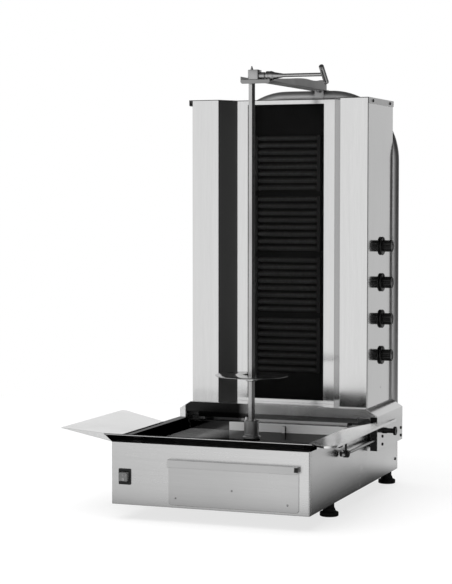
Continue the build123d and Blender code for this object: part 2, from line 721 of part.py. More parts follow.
for side, name in ((-1, "cheek_left"), (1, "cheek_right")):
    with BuildPart() as cheek:
        with BuildSketch(front_plane(portal_y + portal_sheet)):
            with BuildLine():
                Polyline((side * portal_half, portal_bottom), (side * portal_half, portal_shoulder),
                         (side * portal_top_half, portal_top), (side * portal_top_half, portal_top - 2.4),
                         (side * (portal_half - portal_sheet), portal_shoulder - 1.1),
                         (side * (portal_half - portal_sheet), portal_bottom + portal_sheet),
                         (side * (portal_half - 8), portal_bottom + portal_sheet),
                         (side * (portal_half - 8), portal_bottom), close=True)
            make_face()
        extrude(amount=-(carriage_back - portal_y - portal_sheet))
        with BuildSketch(side_plane(side * portal_half)):
            with Locations(*[(y, z) for y in pad_screws_y for z in pad_screws_z]):
                Circle(2.1)
            if side > 0:
                with Locations((clamp_y, clamp_z)):
                    Circle(5.3)
        extrude(amount=5, both=True, mode=Mode.SUBTRACT)
    write(cheek, name)

with BuildPart() as apron:
    box(-apron_half, apron_half, portal_y + portal_sheet, portal_y + portal_sheet + sheet, apron_bottom, apron_top)
write(apron, "apron")

pad_inner, pad_outer = base_half + 0.6, portal_half - portal_sheet
with BuildPart() as guide_pads:
    for side in (-1, 1):
        for y in pad_screws_y:
            low, high = sorted((side * pad_inner, side * pad_outer))
            box(low, high, y - 12, y + 12, 130, 165)
    with BuildSketch(side_plane(0)):
        with Locations(*[(y, z) for y in pad_screws_y for z in pad_screws_z]):
            Circle(2.1)
    extrude(amount=portal_half, both=True, mode=Mode.SUBTRACT)
write(guide_pads, "guide_pads")

# Side fittings: guide rod with its wing nut and bracket, and the side clamp
with BuildPart() as guide_rod:
    with BuildSketch(front_plane(224)):
        with Locations((rod_x, rod_z)):
            Circle(rod_radius)
    extrude(amount=-(508 - 224))
    with BuildSketch(front_plane(portal_y + portal_sheet)):
        with Locations((rod_x, rod_z)):
            RegularPolygon(6.4, 6)
    extrude(amount=-6)
write(guide_rod, "guide_rod")

with BuildPart() as rod_bracket:
    box(rod_x - 2.5 - 4, rod_x + 2.5 + 4, 245, 249, rod_z - 9, rod_z + 9)
    box(rod_x - 2.5, rod_x + 2.5, 245, 249, rod_z + 8, 187)
    box(base_half, rod_x, 245, 249, 177, 187)
    box(base_half, base_half + 3, 236, 258, 169, 187)
    with BuildSketch(front_plane(244)):
        with Locations((rod_x, rod_z)):
            Circle(rod_radius + 0.3)
    extrude(amount=-6, mode=Mode.SUBTRACT)
write(rod_bracket, "rod_bracket")

with BuildPart() as wing_nut:
    with BuildSketch(front_plane(230)):
        with Locations((rod_x, rod_z)):
            Circle(7)
    extrude(amount=-12)
    with BuildSketch(front_plane(233)):
        for side in (-1, 1):
            with BuildLine():
                Polyline((rod_x + side * 4, rod_z - 5), (rod_x + side * 11.5, rod_z - 7),
                         (rod_x + side * 13.5, rod_z + 1), (rod_x + side * 11, rod_z + 6),
                         (rod_x + side * 4, rod_z + 4), close=True)
            make_face()
        fillet(vertices().sort_by(Axis.X)[:2] + vertices().sort_by(Axis.X)[-2:], radius=2)
    extrude(amount=-4)
    with BuildSketch(front_plane(229)):
        with Locations((rod_x, rod_z)):
            Circle(rod_radius + 0.08)
    extrude(amount=-14, mode=Mode.SUBTRACT)
write(wing_nut, "wing_nut")

with BuildPart() as side_clamp:
    with BuildSketch(Plane.XY.offset(clamp_z)):
        with BuildLine():
            Polyline((base_half + 0.8, clamp_y), (base_half + 0.8, clamp_y + 5), (portal_half + 0.4, clamp_y + 5),
                     (portal_half + 0.4, clamp_y + 8), (portal_half + 6, clamp_y + 8),
                     (portal_half + 9, clamp_y + 6.5), (portal_half + 24, clamp_y + 6.5),
                     (portal_half + 26, clamp_y + 11.5), (portal_half + 32, clamp_y + 11.5),
                     (portal_half + 32, clamp_y), close=True)
        make_face()
    revolve(axis=Axis((0, clamp_y, clamp_z), (1, 0, 0)))
write(side_clamp, "side_clamp")

# Heater tower: shell, folded front panels, window frame, lid
tower_bottom = portal_top
with BuildPart() as tower_shell:
    wall_front = tower_front + panel_return + seam_gap
    box(-tower_half, tower_half, wall_front, tower_back, tower_bottom, tower_top)
    box(-tower_half + sheet, tower_half - sheet, wall_front - 1, tower_back - sheet, tower_bottom - 1, tower_top + 1,
        mode=Mode.SUBTRACT)
    with BuildSketch(side_plane(tower_half)):
        with Locations(*[(knob_y, z) for z in knob_heights]):
            Circle(4.5)
        with Locations((642, 279)):
            Circle(2)
    extrude(amount=3, both=True, mode=Mode.SUBTRACT)
    with BuildSketch(side_plane(0)):
        with Locations(*[(y, lid_screws_z) for y in lid_screws_y]):
            Circle(2.1)
    extrude(amount=tower_half + 1, both=True, mode=Mode.SUBTRACT)
    with BuildSketch(front_plane(tower_back)):
        with Locations((0, 334), (0, 904)):
            with GridLocations(26, 40, 12, 3):
                SlotOverall(30, 4, rotation=90)
    extrude(amount=3, both=True, mode=Mode.SUBTRACT)
write(tower_shell, "tower_shell")

with BuildPart() as front_panels:
    for side in (-1, 1):
        with BuildSketch(Plane.XY.offset(tower_bottom)):
            with BuildLine():
                Polyline((side * tower_half, tower_front), (side * facet_outer, tower_front),
                         (side * facet_inner, window_y), (side * (facet_inner + 1.3), window_y + 0.75),
                         (side * (facet_outer + 0.87), tower_front + sheet),
                         (side * (tower_half - sheet), tower_front + sheet),
                         (side * (tower_half - sheet), tower_front + panel_return),
                         (side * tower_half, tower_front + panel_return), close=True)
            make_face()
            corner = (side * tower_half, tower_front, 0)
            fillet(vertices().sort_by_distance(corner)[0], radius=panel_corner)
            corner = (side * (tower_half - sheet), tower_front + sheet, 0)
            fillet(vertices().sort_by_distance(corner)[0], radius=panel_corner - sheet)
        extrude(amount=tower_top - tower_bottom)
write(front_panels, "front_panels")

with BuildPart() as window_frame:
    box(-facet_inner, facet_inner, window_y, window_y + sheet, tower_bottom, tower_top)
    box(-window_half, window_half, window_y - 1, window_y + 3, window_bottom, window_top, mode=Mode.SUBTRACT)
write(window_frame, "window_frame")

with BuildPart() as tower_lid:
    with BuildSketch(Plane.XY.offset(tower_top)):
        with BuildLine():
            Polyline((lid_left, tower_front - 1.5), (-facet_outer, tower_front - 1.5),
                     (-facet_inner, window_y - 1.5), (facet_inner, window_y - 1.5),
                     (facet_outer, tower_front - 1.5), (lid_right, tower_front - 1.5),
                     (lid_right, tower_back + 1.5), (lid_left, tower_back + 1.5), close=True)
        make_face()
    extrude(amount=sheet)
    for side, lid_side in ((-1, lid_left), (1, lid_right)):
        with BuildSketch(side_plane(lid_side)):
            with BuildLine():
                Polyline((tower_front - 1.5, tower_top + sheet), (tower_back + 1.5, tower_top + sheet),
                         (tower_back + 1.5, tower_top + sheet - lid_lip),
                         (tower_front - 1.5, tower_top + sheet - lid_lip), close=True)
            make_face()
            fillet(vertices().group_by(Axis.Y)[0], radius=5)
            with Locations(*[(y, lid_screws_z) for y in lid_screws_y]):
                Circle(2.1, mode=Mode.SUBTRACT)
        extrude(amount=-side * sheet)
write(tower_lid, "tower_lid")

# Screws of the carriage: through the cheeks into the guide pads, and through the lid's lips
with BuildPart() as carriage_screws:
    for side, lid_side in ((-1, lid_left), (1, lid_right)):
        for face, inner_end, points in (
                (side * portal_half, side * (portal_half - 14), [(y, z) for y in pad_screws_y for z in pad_screws_z]),
                (lid_side, side * (tower_half - 6), [(y, lid_screws_z) for y in lid_screws_y])):
            with BuildSketch(side_plane(inner_end)):
                with Locations(*points):
                    Circle(2)
            extrude(amount=face - inner_end)
            with BuildSketch(side_plane(face)):
                with Locations(*points):
                    Circle(4)
            extrude(amount=side * screw_head)
    head_faces = [abs(face) + screw_head for face in (portal_half, lid_left, lid_right)]
    rims = carriage_screws.edges().filter_by(GeomType.CIRCLE).filter_by(lambda edge: edge.radius > 3.9)
    fillet(rims.filter_by(lambda edge: min(abs(abs(edge.center().X) - face) for face in head_faces) < 0.01), radius=1.4)
write(carriage_screws, "carriage_screws")

# Heating: glass, four zones of bars, reflector
with BuildPart() as glass_panel:
    box(-118, 118, window_y + sheet + 0.3, window_y + sheet + 4.3, tower_bottom + 3, tower_top - 6)
    chamfer(glass_panel.edges().filter_by(Axis.Z), length=0.8)
write(glass_panel, "glass_panel")

with BuildPart() as heater_elements:
    for top in zone_tops:
        low = top - (bars_per_zone - 1) * bar_pitch
        with BuildSketch(side_plane(-bar_half)):
            with Locations(*[(heater_y, top - index * bar_pitch) for index in range(bars_per_zone)]):
                Circle(bar_radius)
        extrude(amount=2 * bar_half)
        for side in (-1, 1):
            inner, outer = sorted((side * (bar_half - 1), side * (bar_half + 9)))
            box(inner, outer, heater_y - 7, heater_y + 9, low - 8, top + 8)
write(heater_elements, "heater_elements")

with BuildPart() as heat_reflector:
    box(-117, 117, 581, 606, tower_bottom + 5, tower_top - 8)
    box(-115.5, 115.5, 570, 604.5, tower_bottom + 6.5, tower_top - 9.5, mode=Mode.SUBTRACT)
write(heat_reflector, "heat_reflector")

# Controls: four regulators inside the right wall and their knobs
with BuildPart() as energy_regulators:
    for z in knob_heights:
        box(206, tower_half - sheet - 0.5, knob_y - 16, knob_y + 16, z - 17, z + 17)
        box(194, 207, knob_y - 12, knob_y + 12, z - 12, z + 12)
    with BuildSketch(side_plane(tower_half - sheet)):
        with Locations(*[(knob_y, z) for z in knob_heights]):
            Circle(4.08)
    extrude(amount=-24, mode=Mode.SUBTRACT)
write(energy_regulators, "energy_regulators")

skirt_start, skirt_end, grip_end = tower_half + 0.8, tower_half + 6, tower_half + 30.5
for number, z in enumerate(knob_heights, start=1):
    with BuildPart() as knob:
        with BuildSketch(side_plane(skirt_start)):
            with Locations((knob_y, z)):
                Circle(24.7)
        extrude(amount=skirt_end - skirt_start)
        fillet(knob.faces().sort_by(Axis.X)[-1].edges(), radius=2.5)
        with BuildSketch(side_plane(skirt_end - 1)):
            with Locations((knob_y, z)):
                Circle(15.4)
                with PolarLocations(16.6, 12, start_angle=15):
                    Circle(2.4, mode=Mode.SUBTRACT)
        extrude(amount=grip_end - skirt_end + 1)
        with BuildSketch(side_plane(skirt_start)):
            with Locations((knob_y, z)):
                Circle(4)
        extrude(amount=-(skirt_start - 224))
        # Pointer ridge on the skirt
        box(skirt_end - 1, skirt_end + 0.8, knob_y - 1.2, knob_y + 1.2, z + 14, z + 22)
    write(knob, f"knob_{number}")

# Feet: rubber pads on threaded studs
for side, side_name in ((-1, "left"), (1, "right")):
    for y, end_name in zip(foot_ys, ("front", "rear")):
        with BuildPart() as foot:
            with BuildSketch(Plane.XZ.offset(-y)):
                with BuildLine():
                    Polyline((0, 0), (foot_radius - 1.5, 0), (foot_radius, 1.5), (foot_radius, 11), (15, 20),
                             (13, 23), (13, base_bottom - 0.5), (stud_radius, base_bottom - 0.5),
                             (stud_radius, 60), (0, 60), close=True)
                make_face()
            revolve(axis=Axis((0, y, 0), (0, 0, 1)))
        placed_foot = foot.part.moved(Location((side * foot_x, 0, 0)))
        with BuildPart() as foot_in_place:
            add(placed_foot)
        write(foot_in_place, f"foot_{end_name}_{side_name}")
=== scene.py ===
"""Looks of the electric doner kebab grill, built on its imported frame."""

from math import cos, pi, radians, sin

import bpy
from bpy.props import FloatProperty, FloatVectorProperty, IntProperty, PointerProperty
from bpy.types import Operator, Panel, PropertyGroup
from mathutils import Matrix, Vector


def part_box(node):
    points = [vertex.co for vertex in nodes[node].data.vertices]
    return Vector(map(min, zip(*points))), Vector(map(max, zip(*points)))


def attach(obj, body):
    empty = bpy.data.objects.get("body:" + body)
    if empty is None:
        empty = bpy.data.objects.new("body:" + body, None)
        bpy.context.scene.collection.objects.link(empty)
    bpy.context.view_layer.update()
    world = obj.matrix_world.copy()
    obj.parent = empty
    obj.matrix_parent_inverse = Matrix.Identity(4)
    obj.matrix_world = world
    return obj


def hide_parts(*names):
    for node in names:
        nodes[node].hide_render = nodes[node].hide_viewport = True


bl_info = {
    "name": "Doner grill builder",
    "version": (1, 0, 0),
    "blender": (4, 5, 0),
    "location": "View3D > Sidebar > Grill",
    "description": "Dresses the frame of an electric doner kebab grill with pieces and finishes",
    "category": "Add Mesh",
}

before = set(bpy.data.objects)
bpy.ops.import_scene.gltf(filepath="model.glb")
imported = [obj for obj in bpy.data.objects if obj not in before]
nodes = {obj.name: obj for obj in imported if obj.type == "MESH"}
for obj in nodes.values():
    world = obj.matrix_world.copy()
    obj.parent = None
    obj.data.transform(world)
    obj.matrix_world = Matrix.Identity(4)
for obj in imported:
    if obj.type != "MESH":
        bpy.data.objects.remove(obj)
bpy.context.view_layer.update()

MM = 0.001
front_low, front_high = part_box("base_front")
# The bench point x = 0, y = 0, z = 0: middle of the base's front edge, on the worktop
BENCH = Vector(((front_low.x + front_high.x) / 2, front_low.y, 0))
X, Y, Z = Vector((1, 0, 0)), Vector((0, 1, 0)), Vector((0, 0, 1))

# Bench points in millimetres, the same as in the solids
SPIT_Y = 304
SPIT_TURN = radians(-24)
DISC_SCREW_Z = 326.5
CLAMP_Z = 1095.5
BAR_X = 191
BAR_SLOPE = Vector((0, 0.755, -0.656))
KNOB_X, REGULATOR_X, KNOB_Y = 247.1, 206, 645
KNOB_HEIGHTS = (658.5, 561, 463, 365.5)
FOOT_X, FOOT_FRONT_Y, FOOT_REAR_Y = 232, 229, 762
SWITCH_X, SWITCH_Z = -219.5, 107
ROD_X, ROD_Z, WING_NUT_Y = 269.5, 154, 236
SIDE_KNOB = (278, 572, 172)
HEATER_Y, HEATER_TOPS, HEATER_PITCH, ZONE_BARS = 590, (947, 784, 619.5, 456), 19, 8
MOTOR, GEARBOX = (38, 310, 0), (22, 310, 0)
GLAND, TERMINALS = (-180, 791, 84), (-180, 727, 0)
RIVETS = ((-85, 62), (60, 88), (201, 62))

# Limits of the painted light: the front panels' folds, and the left end of the pan's painted bright back wall
FOLD_X = 170.6
BRIGHT_WALL_X = -112.0

# The photo's camera: its place from the bench point in metres, and its tilt and turn
CAMERA_PLACE = (1.52246, -3.90826, 0.7965)
CAMERA_ANGLES = (radians(86.82), 0, radians(20.71))
# The way to the dark side of the room
DARK_SIDE = (0.987, 0.163, 0.0)


# Settings


def colour(name, description, default):
    return FloatVectorProperty(name=name, description=description, subtype="COLOR", default=default, min=0,
        max=1)


def number(name, description, default, low, high, **kind):
    return FloatProperty(name=name, description=description, default=default, min=low, max=high, **kind)


class GrillSteel(PropertyGroup):
    sheet_tone: colour("Sheet", "Colour of the brushed sheet", (0.72, 0.72, 0.72))
    bar_tone: colour("Bar", "Colour of the turned and drawn bar", (0.46, 0.46, 0.46))
    pan_tone: colour("Pan", "Colour of the pressed pan", (0.24, 0.24, 0.24))
    zinc_tone: colour("Zinc", "Colour of the plated inner sheets", (0.5, 0.5, 0.51))
    grain: number("Grain", "How strongly the brushed lines show", 0.5, 0, 1, subtype="FACTOR")


class GrillPlastic(PropertyGroup):
    black_tone: colour("Black mouldings", "Colour of knobs and switch", (0.007, 0.007, 0.007))
    rubber_tone: colour("Rubber", "Colour of the feet", (0.011, 0.011, 0.011))
    mark_tone: colour("Marks", "Colour of the printed marks", (0.34, 0.34, 0.34))


class GrillSizes(PropertyGroup):
    knob_radius: number("Knob skirt", "Radius of a knob's skirt", 0.0247, 0.015, 0.03, unit="LENGTH")
    knob_flutes: IntProperty(name="Knob flutes", description="Flutes round a knob's grip", default=12, min=6,
        max=24)
    bar_radius: number("Heater bar", "Radius of a heater bar", 0.006, 0.003, 0.009, unit="LENGTH")
    disc_radius: number("Meat disc", "Radius of the disc under the meat", 0.094, 0.05, 0.12, unit="LENGTH")


class GrillLight(PropertyGroup):
    key_power: number("Key light", "Power of the large front light", 12, 0, 1000, unit="POWER")
    floor_light: number("Floor light", "Strength of the soft light that whitens the floor", 3.6, 0, 20)
    camera_lens: number("Lens", "Focal length of the camera", 108.36, 20, 300, unit="CAMERA")
    backdrop_tone: colour("Backdrop", "Colour of the floor and background", (0.93, 0.93, 0.93))


# Finishes


def is_socket(value):
    return isinstance(value, bpy.types.NodeSocket)


def shade(tone, factor):
    """A lighter or darker tone."""
    return [min(1, value * factor) for value in tone]


class Net:
    """The node net of one material, world or node group, under construction."""

    def __init__(self, tree):
        self.tree = tree

    def add(self, kind, inputs=None, **settings):
        """A node with its settings made, and its inputs linked or set."""
        node = self.tree.nodes.new(kind)
        for key, value in settings.items():
            setattr(node, key, value)
        for key, value in (inputs or {}).items():
            if is_socket(value):
                self.tree.links.new(value, node.inputs[key])
            else:
                node.inputs[key].default_value = value
        return node

    def group(self, name, **inputs):
        return self.add("ShaderNodeGroup", inputs, node_tree=bpy.data.node_groups[name])

    def principled(self, **inputs):
        """The main shader, its inputs named with underscores."""
        return self.add("ShaderNodeBsdfPrincipled", {key.replace("_", " "): value for key,
            value in inputs.items()})

    def surface(self, **inputs):
        """The main shader joined to the material's output."""
        self.add("ShaderNodeOutputMaterial", {"Surface": self.principled(**inputs).outputs["BSDF"]})

    def math(self, operation, first, second=0.0):
        return self.add("ShaderNodeMath", {0: first, 1: second}, operation=operation).outputs[0]

    def times(self, first, second):
        return self.math("MULTIPLY", first, second)

    def plus(self, first, second):
        return self.math("ADD", first, second)

    def larger(self, first, second):
        return self.math("MAXIMUM", first, second)

    def above(self, value, limit):
        """1 where a number is above its limit, else 0."""
        return self.math("GREATER_THAN", value, limit)

    def below(self, value, limit):
        """1 where a number is below its limit, else 0."""
        return self.math("LESS_THAN", value, limit)

    def spot(self):
        """The point on the object that is being shaded."""
        return self.add("ShaderNodeTexCoord").outputs["Object"]

    def along(self, vector, axis):
        return self.add("ShaderNodeSeparateXYZ", {"Vector": vector}).outputs[axis]

    def place(self, axis):
        """How far along an axis of the bench a point is, in millimetres."""
        offset = getattr(BENCH, axis.lower())
        return self.times(self.math("SUBTRACT", self.along(self.spot(), axis), offset), 1000.0)

    def facing(self, axis):
        """One axis of the direction that the surface faces."""
        return self.along(self.add("ShaderNodeNewGeometry").outputs["True Normal"], axis)

    def ranged(self, value, low, high, start=0.0, end=1.0):
        """Number that goes from start to end as the value goes from low to high."""
        return self.add("ShaderNodeMapRange", {"Value": value, "From Min": low, "From Max": high,
            "To Min": start, "To Max": end}).outputs["Result"]

    def blend(self, factor, low, high):
        """Number between low and high by a factor socket."""
        return self.ranged(factor, 0.0, 1.0, low, high)

    def between(self, value, low, high, fade=0.001):
        """1 between two numbers and 0 outside, fading above the higher one."""
        return self.times(self.above(value, low), self.ranged(value, high, high + fade, 1.0, 0.0))

    def tones(self, factor, low, high):
        """Colour between low and high by a factor socket."""
        low, high = (value if is_socket(value) else (*value[:3], 1) for value in (low, high))
        return self.add("ShaderNodeMix", {"Factor": factor, 6: low, 7: high}, data_type="RGBA").outputs[2]

    def noise(self, place, scale, detail, roughness=0.5, distortion=0.0):
        return self.add("ShaderNodeTexNoise", {"Vector": place, "Scale": scale, "Detail": detail,
            "Roughness": roughness, "Distortion": distortion}).outputs["Fac"]

    def squeezed(self, place, amounts):
        return self.add("ShaderNodeVectorMath", {0: place, 1: amounts}, operation="MULTIPLY").outputs[0]

    def bump(self, height, strength, distance, **normal):
        return self.add("ShaderNodeBump", {"Height": height, "Strength": strength, "Distance": distance,
            **normal}).outputs["Normal"]


def start_group(name, inputs, outputs):
    tree = bpy.data.node_groups.new(name, "ShaderNodeTree")
    for label, kind, default in inputs:
        tree.interface.new_socket(label, in_out="INPUT", socket_type=kind).default_value = default
    for label, kind in outputs:
        tree.interface.new_socket(label, in_out="OUTPUT", socket_type=kind)
    net = Net(tree)
    return net, net.add("NodeGroupInput").outputs


def make_grain_group():
    """Brushed lines: fine and broad streaks along one direction, and soft smudges across them."""
    net, given = start_group("Brushed grain", [("Squeeze", "NodeSocketVector", (1, 1, 1)), ("Fineness",
        "NodeSocketFloat", 900.0)], [("Lines", "NodeSocketFloat"), ("Smudge", "NodeSocketFloat")])
    place = net.spot()
    squeezed = net.squeezed(place, given["Squeeze"])
    fine = net.noise(squeezed, given["Fineness"], 3.0, 0.7)
    broad = net.noise(squeezed, 110.0, 4.0, 0.6)
    lines = net.plus(net.times(fine, 0.6), net.times(broad, 0.4))
    net.add("NodeGroupOutput", {"Lines": lines, "Smudge": net.noise(place, 7.0, 5.0, 0.55, 0.4)})


def make_edge_group():
    """Worn edges with a painted sheen along them: how far the rounded normal leaves the face's own, broken up
    by a fine noise.
    """
    net, given = start_group("Edge wear and sheen", [("Width", "NodeSocketFloat", 0.0012)],
        [("Wear and sheen", "NodeSocketFloat"), ("Normal", "NodeSocketVector")])
    rounded_off = net.add("ShaderNodeBevel", {"Radius": given["Width"]}, samples=4).outputs["Normal"]
    plain = net.add("ShaderNodeNewGeometry").outputs["Normal"]
    agree = net.add("ShaderNodeVectorMath", {0: rounded_off, 1: plain},
        operation="DOT_PRODUCT").outputs["Value"]
    chips = net.noise(net.spot(), 260.0, 3.0)
    broken = net.times(net.ranged(agree, 0.995, 0.8), net.blend(chips, 0.35, 1.0))
    net.add("NodeGroupOutput", {"Wear and sheen": broken, "Normal": rounded_off})


def start_material(name):
    material = bpy.data.materials.new(name)
    material.use_nodes = True
    material.node_tree.nodes.clear()
    return Net(material.node_tree)


def steel(name, tone, along, rough, contrast, edge_width=0.0012, stain=0.0, fineness=900.0, marks=None, glance=1.0,
        film=None, dull=None):
    """Brushed or drawn metal. Its lines go along x, y or z. Marks is the function that paints shade,
    highlights and reflections into its colour, film that of a pale film, dull that of rougher places. Glance
    is its shine at a shallow angle."""
    net = start_material(name)
    squeeze = {"x": (0.02, 1, 1), "y": (1, 0.02, 1), "z": (1, 1, 0.02), "none": (1, 1, 1)}[along]
    grain = net.group("Brushed grain", Squeeze=squeeze, Fineness=fineness).outputs
    edge = net.group("Edge wear and sheen", Width=edge_width).outputs
    lines, smudge = grain["Lines"], grain["Smudge"]
    tint = net.tones(net.blend(lines, -0.6, 1.6), shade(tone, 1 - contrast), shade(tone, 1 + contrast))
    if stain:
        patch = net.ranged(smudge, 0.42, 0.68)
        tint = net.tones(net.times(patch, stain), tint, shade(tone, 0.4))
    # Painted light: the marks function adds painted shade, highlights and reflections to the colour.
    if marks:
        tint = marks(net, tint, tone)
    # Edges painted lighter: partly wear, partly a painted highlight.
    tint = net.tones(edge["Wear and sheen"], tint, shade(tone, 1.25))
    roughness = net.plus(net.blend(lines, rough - 0.05, rough + 0.07), net.blend(smudge, -0.05, 0.07))
    if dull:
        roughness = net.plus(roughness, net.times(dull(net), 0.35))
    net.surface(Base_Color=tint, Roughness=roughness, Specular_Tint=(glance, glance, glance, 1),
        Normal=net.bump(lines, 0.07, 0.00006, Normal=edge["Normal"]), Metallic=film(net) if film else 1.0)


def left_facet(net):
    """The slanted face on the left of the window: shade is painted on it, and its roughness is raised."""
    return net.times(net.between(net.place("X"), -FOLD_X, 0), net.above(net.facing("X"), 0.3))


def painted_facet_shade(net, tint, tone):
    """Metal beside the window, with painted shade: darker between the folds, darkest on the left slanted
    face.
    """
    # Painted shade: the band between the folds and the left facet are darkened in the colour.
    window_band = net.between(net.place("X"), -FOLD_X, FOLD_X)
    tint = net.tones(window_band, tint, shade(tone, 0.55))
    return net.tones(left_facet(net), tint, shade(tone, 0.36))


def lid_painted_shadow_line(net, tint, tone):
    """Painted shadow line: the sheet's faces towards the cook made dark, along the lid's front edge."""
    # Painted shadow: faces turned towards the cook are darkened to near black.
    return net.tones(net.below(net.facing("Y"), -0.4), tint, shade(tone, 0.04))


def portal_painted_shade(net, tint, tone):
    """Painted shade on the left of the portal's face and on its right leg."""
    # Painted shade: these masks darken the colour where the portal lies in shade.
    left = net.between(net.place("X"), -262, -108, fade=40)
    leg = net.times(net.above(net.place("X"), 259.0), net.below(net.place("Z"), 214.0))
    face = net.larger(net.below(net.facing("Y"), -0.9), net.below(net.place("Z"), 200.0))
    return net.tones(net.times(net.larger(left, leg), face), tint, shade(tone, 0.03))


def cheek_painted_shade(net, tint, tone):
    """Painted shade on the inner face of the left cheek."""
    # Painted shade: the face turned towards +x is darkened.
    return net.tones(net.above(net.facing("X"), 0.9), tint, shade(tone, 0.05))


def pan_painted_light(net, tint, tone):
    """Painted shade on the pan's left wall and the flare's underside, a painted highlight on the rim, and a
    painted reflection on the back wall.
    """
    # Painted shade on the left wall and on the flare's underside, then a painted highlight on the upturned
    # rim.
    tint = net.tones(net.above(net.facing("X"), 0.5), tint, shade(tone, 0.2))
    tint = net.tones(net.below(net.facing("Z"), -0.4), tint, shade(tone, 0.55))
    flange = net.times(net.above(net.facing("Z"), 0.9), net.above(net.place("Z"), 190.0))
    tint = net.tones(flange, tint, shade(tone, 1.5))
    # Painted reflection: the back wall's right part and the rim's front are made bright.
    wiped = net.larger(net.above(net.place("X"), BRIGHT_WALL_X), net.above(net.place("Z"), 205.0))
    ahead = net.below(net.facing("Y"), -0.9)
    return net.tones(net.times(wiped, ahead), tint, (0.72, 0.72, 0.72))


def pan_film(net):
    """Bare metal but for a pale film, on the right of the pan's back wall and on the left of its floor."""
    back = net.times(net.below(net.facing("Y"), -0.9), net.above(net.place("Y"), 430.0))
    wall = net.times(back, net.above(net.place("X"), BRIGHT_WALL_X))
    bottom = net.times(net.above(net.facing("Z"), 0.9), net.below(net.place("Z"), 180.0))
    left = net.times(bottom, net.between(net.place("X"), -230, -140, fade=70))
    return net.blend(net.larger(wall, left), 1.0, 0.05)


def moulded(name, tone, rough, pores=700.0, relief=0.3, depth=0.00008, metallic=0.0, specular=0.5, lift=2.2):
    """Moulded, cast or painted surface with a fine texture, and edges painted lighter: partly wear, partly a
    painted highlight.
    """
    net = start_material(name)
    place = net.spot()
    fine = net.noise(place, pores, 4.0, 0.6)
    clouds = net.noise(place, 18.0, 4.0)
    edge = net.group("Edge wear and sheen", Width=0.0006).outputs
    base = net.tones(clouds, shade(tone, 0.8), shade(tone, 1.2))
    # Edges painted lighter: partly wear, partly a painted highlight.
    tint = net.tones(net.times(edge["Wear and sheen"], 0.6), base, shade(tone, lift))
    roughness = net.plus(net.blend(fine, rough - 0.06, rough + 0.06), net.blend(clouds, -0.06, 0.06))
    net.surface(Base_Color=tint, Roughness=roughness, Metallic=metallic, Specular_IOR_Level=specular,
        Normal=net.bump(fine, relief, depth, Normal=edge["Normal"]))


def make_zinc(tone):
    """Zinc plate: soft crystals of slightly different tones."""
    net = start_material("Zinc plate")
    place = net.spot()
    crystal = net.add("ShaderNodeTexVoronoi", {"Vector": place, "Scale": 90.0, "Randomness": 1.0})
    cell = net.add("ShaderNodeSeparateColor", {"Color": crystal.outputs["Color"]}).outputs[0]
    haze = net.noise(place, 12.0, 5.0)
    edge = net.group("Edge wear and sheen").outputs
    tint = net.tones(net.times(cell, haze), shade(tone, 0.85), shade(tone, 1.35))
    # Edges painted lighter: partly wear, partly a painted highlight.
    tint = net.tones(edge["Wear and sheen"], tint, shade(tone, 1.4))
    net.surface(Base_Color=tint, Roughness=net.blend(cell, 0.38, 0.55), Normal=edge["Normal"], Metallic=1.0)


def make_glass():
    """Smoked glass ceramic: dark and glossy, with a trace of wiped film."""
    net = start_material("Smoked glass")
    film = net.noise(net.spot(), 9.0, 6.0, distortion=0.6)
    net.surface(Base_Color=net.tones(film, (0.004, 0.004, 0.004), (0.009, 0.009, 0.009)),
        Roughness=net.blend(film, 0.04, 0.12), Alpha=0.35, IOR=1.12, Specular_IOR_Level=0.15)
    bpy.data.materials["Smoked glass"].surface_render_method = "BLENDED"


def make_sheath():
    """Oxidised sheath of the heater bars: nearly black, with faint rings of scale."""
    net = start_material("Oxidised sheath")
    place = net.spot()
    rings = net.noise(net.squeezed(place, (1, 0.15, 0.15)), 300.0, 4.0)
    scale = net.noise(place, 120.0, 6.0)
    tint = net.tones(net.times(rings, scale), (0.1, 0.1, 0.1), (0.3, 0.3, 0.3))
    net.surface(Base_Color=tint, Roughness=net.blend(scale, 0.35, 0.55), Metallic=0.7, Normal=net.bump(scale,
        0.4, 0.0001))


NODES_OF_FINISH = {
    "Sheet lines upright": "tower_shell window_frame cheek_right",
    "Cheek sheet": "cheek_left",
    "Folded panels": "front_panels",
    "Wing sheet": "left_wing right_wing",
    "Drawer sheet": "drawer_front",
    "Sheet lines across": "base_front base_back",
    "Apron sheet": "apron base_deck",
    "Portal sheet": "carriage_portal",
    "Lid sheet": "tower_lid",
    "Sheet lines along": "base_sides",
    "Satin tube": "mast arm_strap",
    "Raw steel": "top_arm",
    "Pan steel": "drip_pan",
    "Turned bar": "spit_socket drive_shaft centre_pin bearing_block clamp_screw disc_screw tommy_bar",
    "Drawn bar": "spit_rod",
    "Drawn rod": "guide_rod",
    "Disc steel": "meat_disc",
    "Zinc plate": "base_floor motor_bracket drawer_runners drawer_tray carriage_runners arm_bolts",
    "Reflector sheet": "heat_reflector",
    "Blackened screw": "rod_bracket base_screws carriage_screws",
    "Black moulding": "switch_housing switch_rocker knob_1 knob_2 knob_3 knob_4 wing_nut side_clamp "
                      "cable_gland guide_pads",
    "Ivory moulding": "terminal_block energy_regulators",
    "Foot rubber": "foot_front_left foot_rear_left foot_front_right foot_rear_right",
    "Motor enamel": "gear_motor",
    "Cast housing": "gearbox shaft_bearing",
    "Smoked glass": "glass_panel",
    "Oxidised sheath": "heater_elements",
}


def dress(finish, *pieces):
    for piece in pieces:
        piece.data.materials.clear()
        piece.data.materials.append(bpy.data.materials[finish])


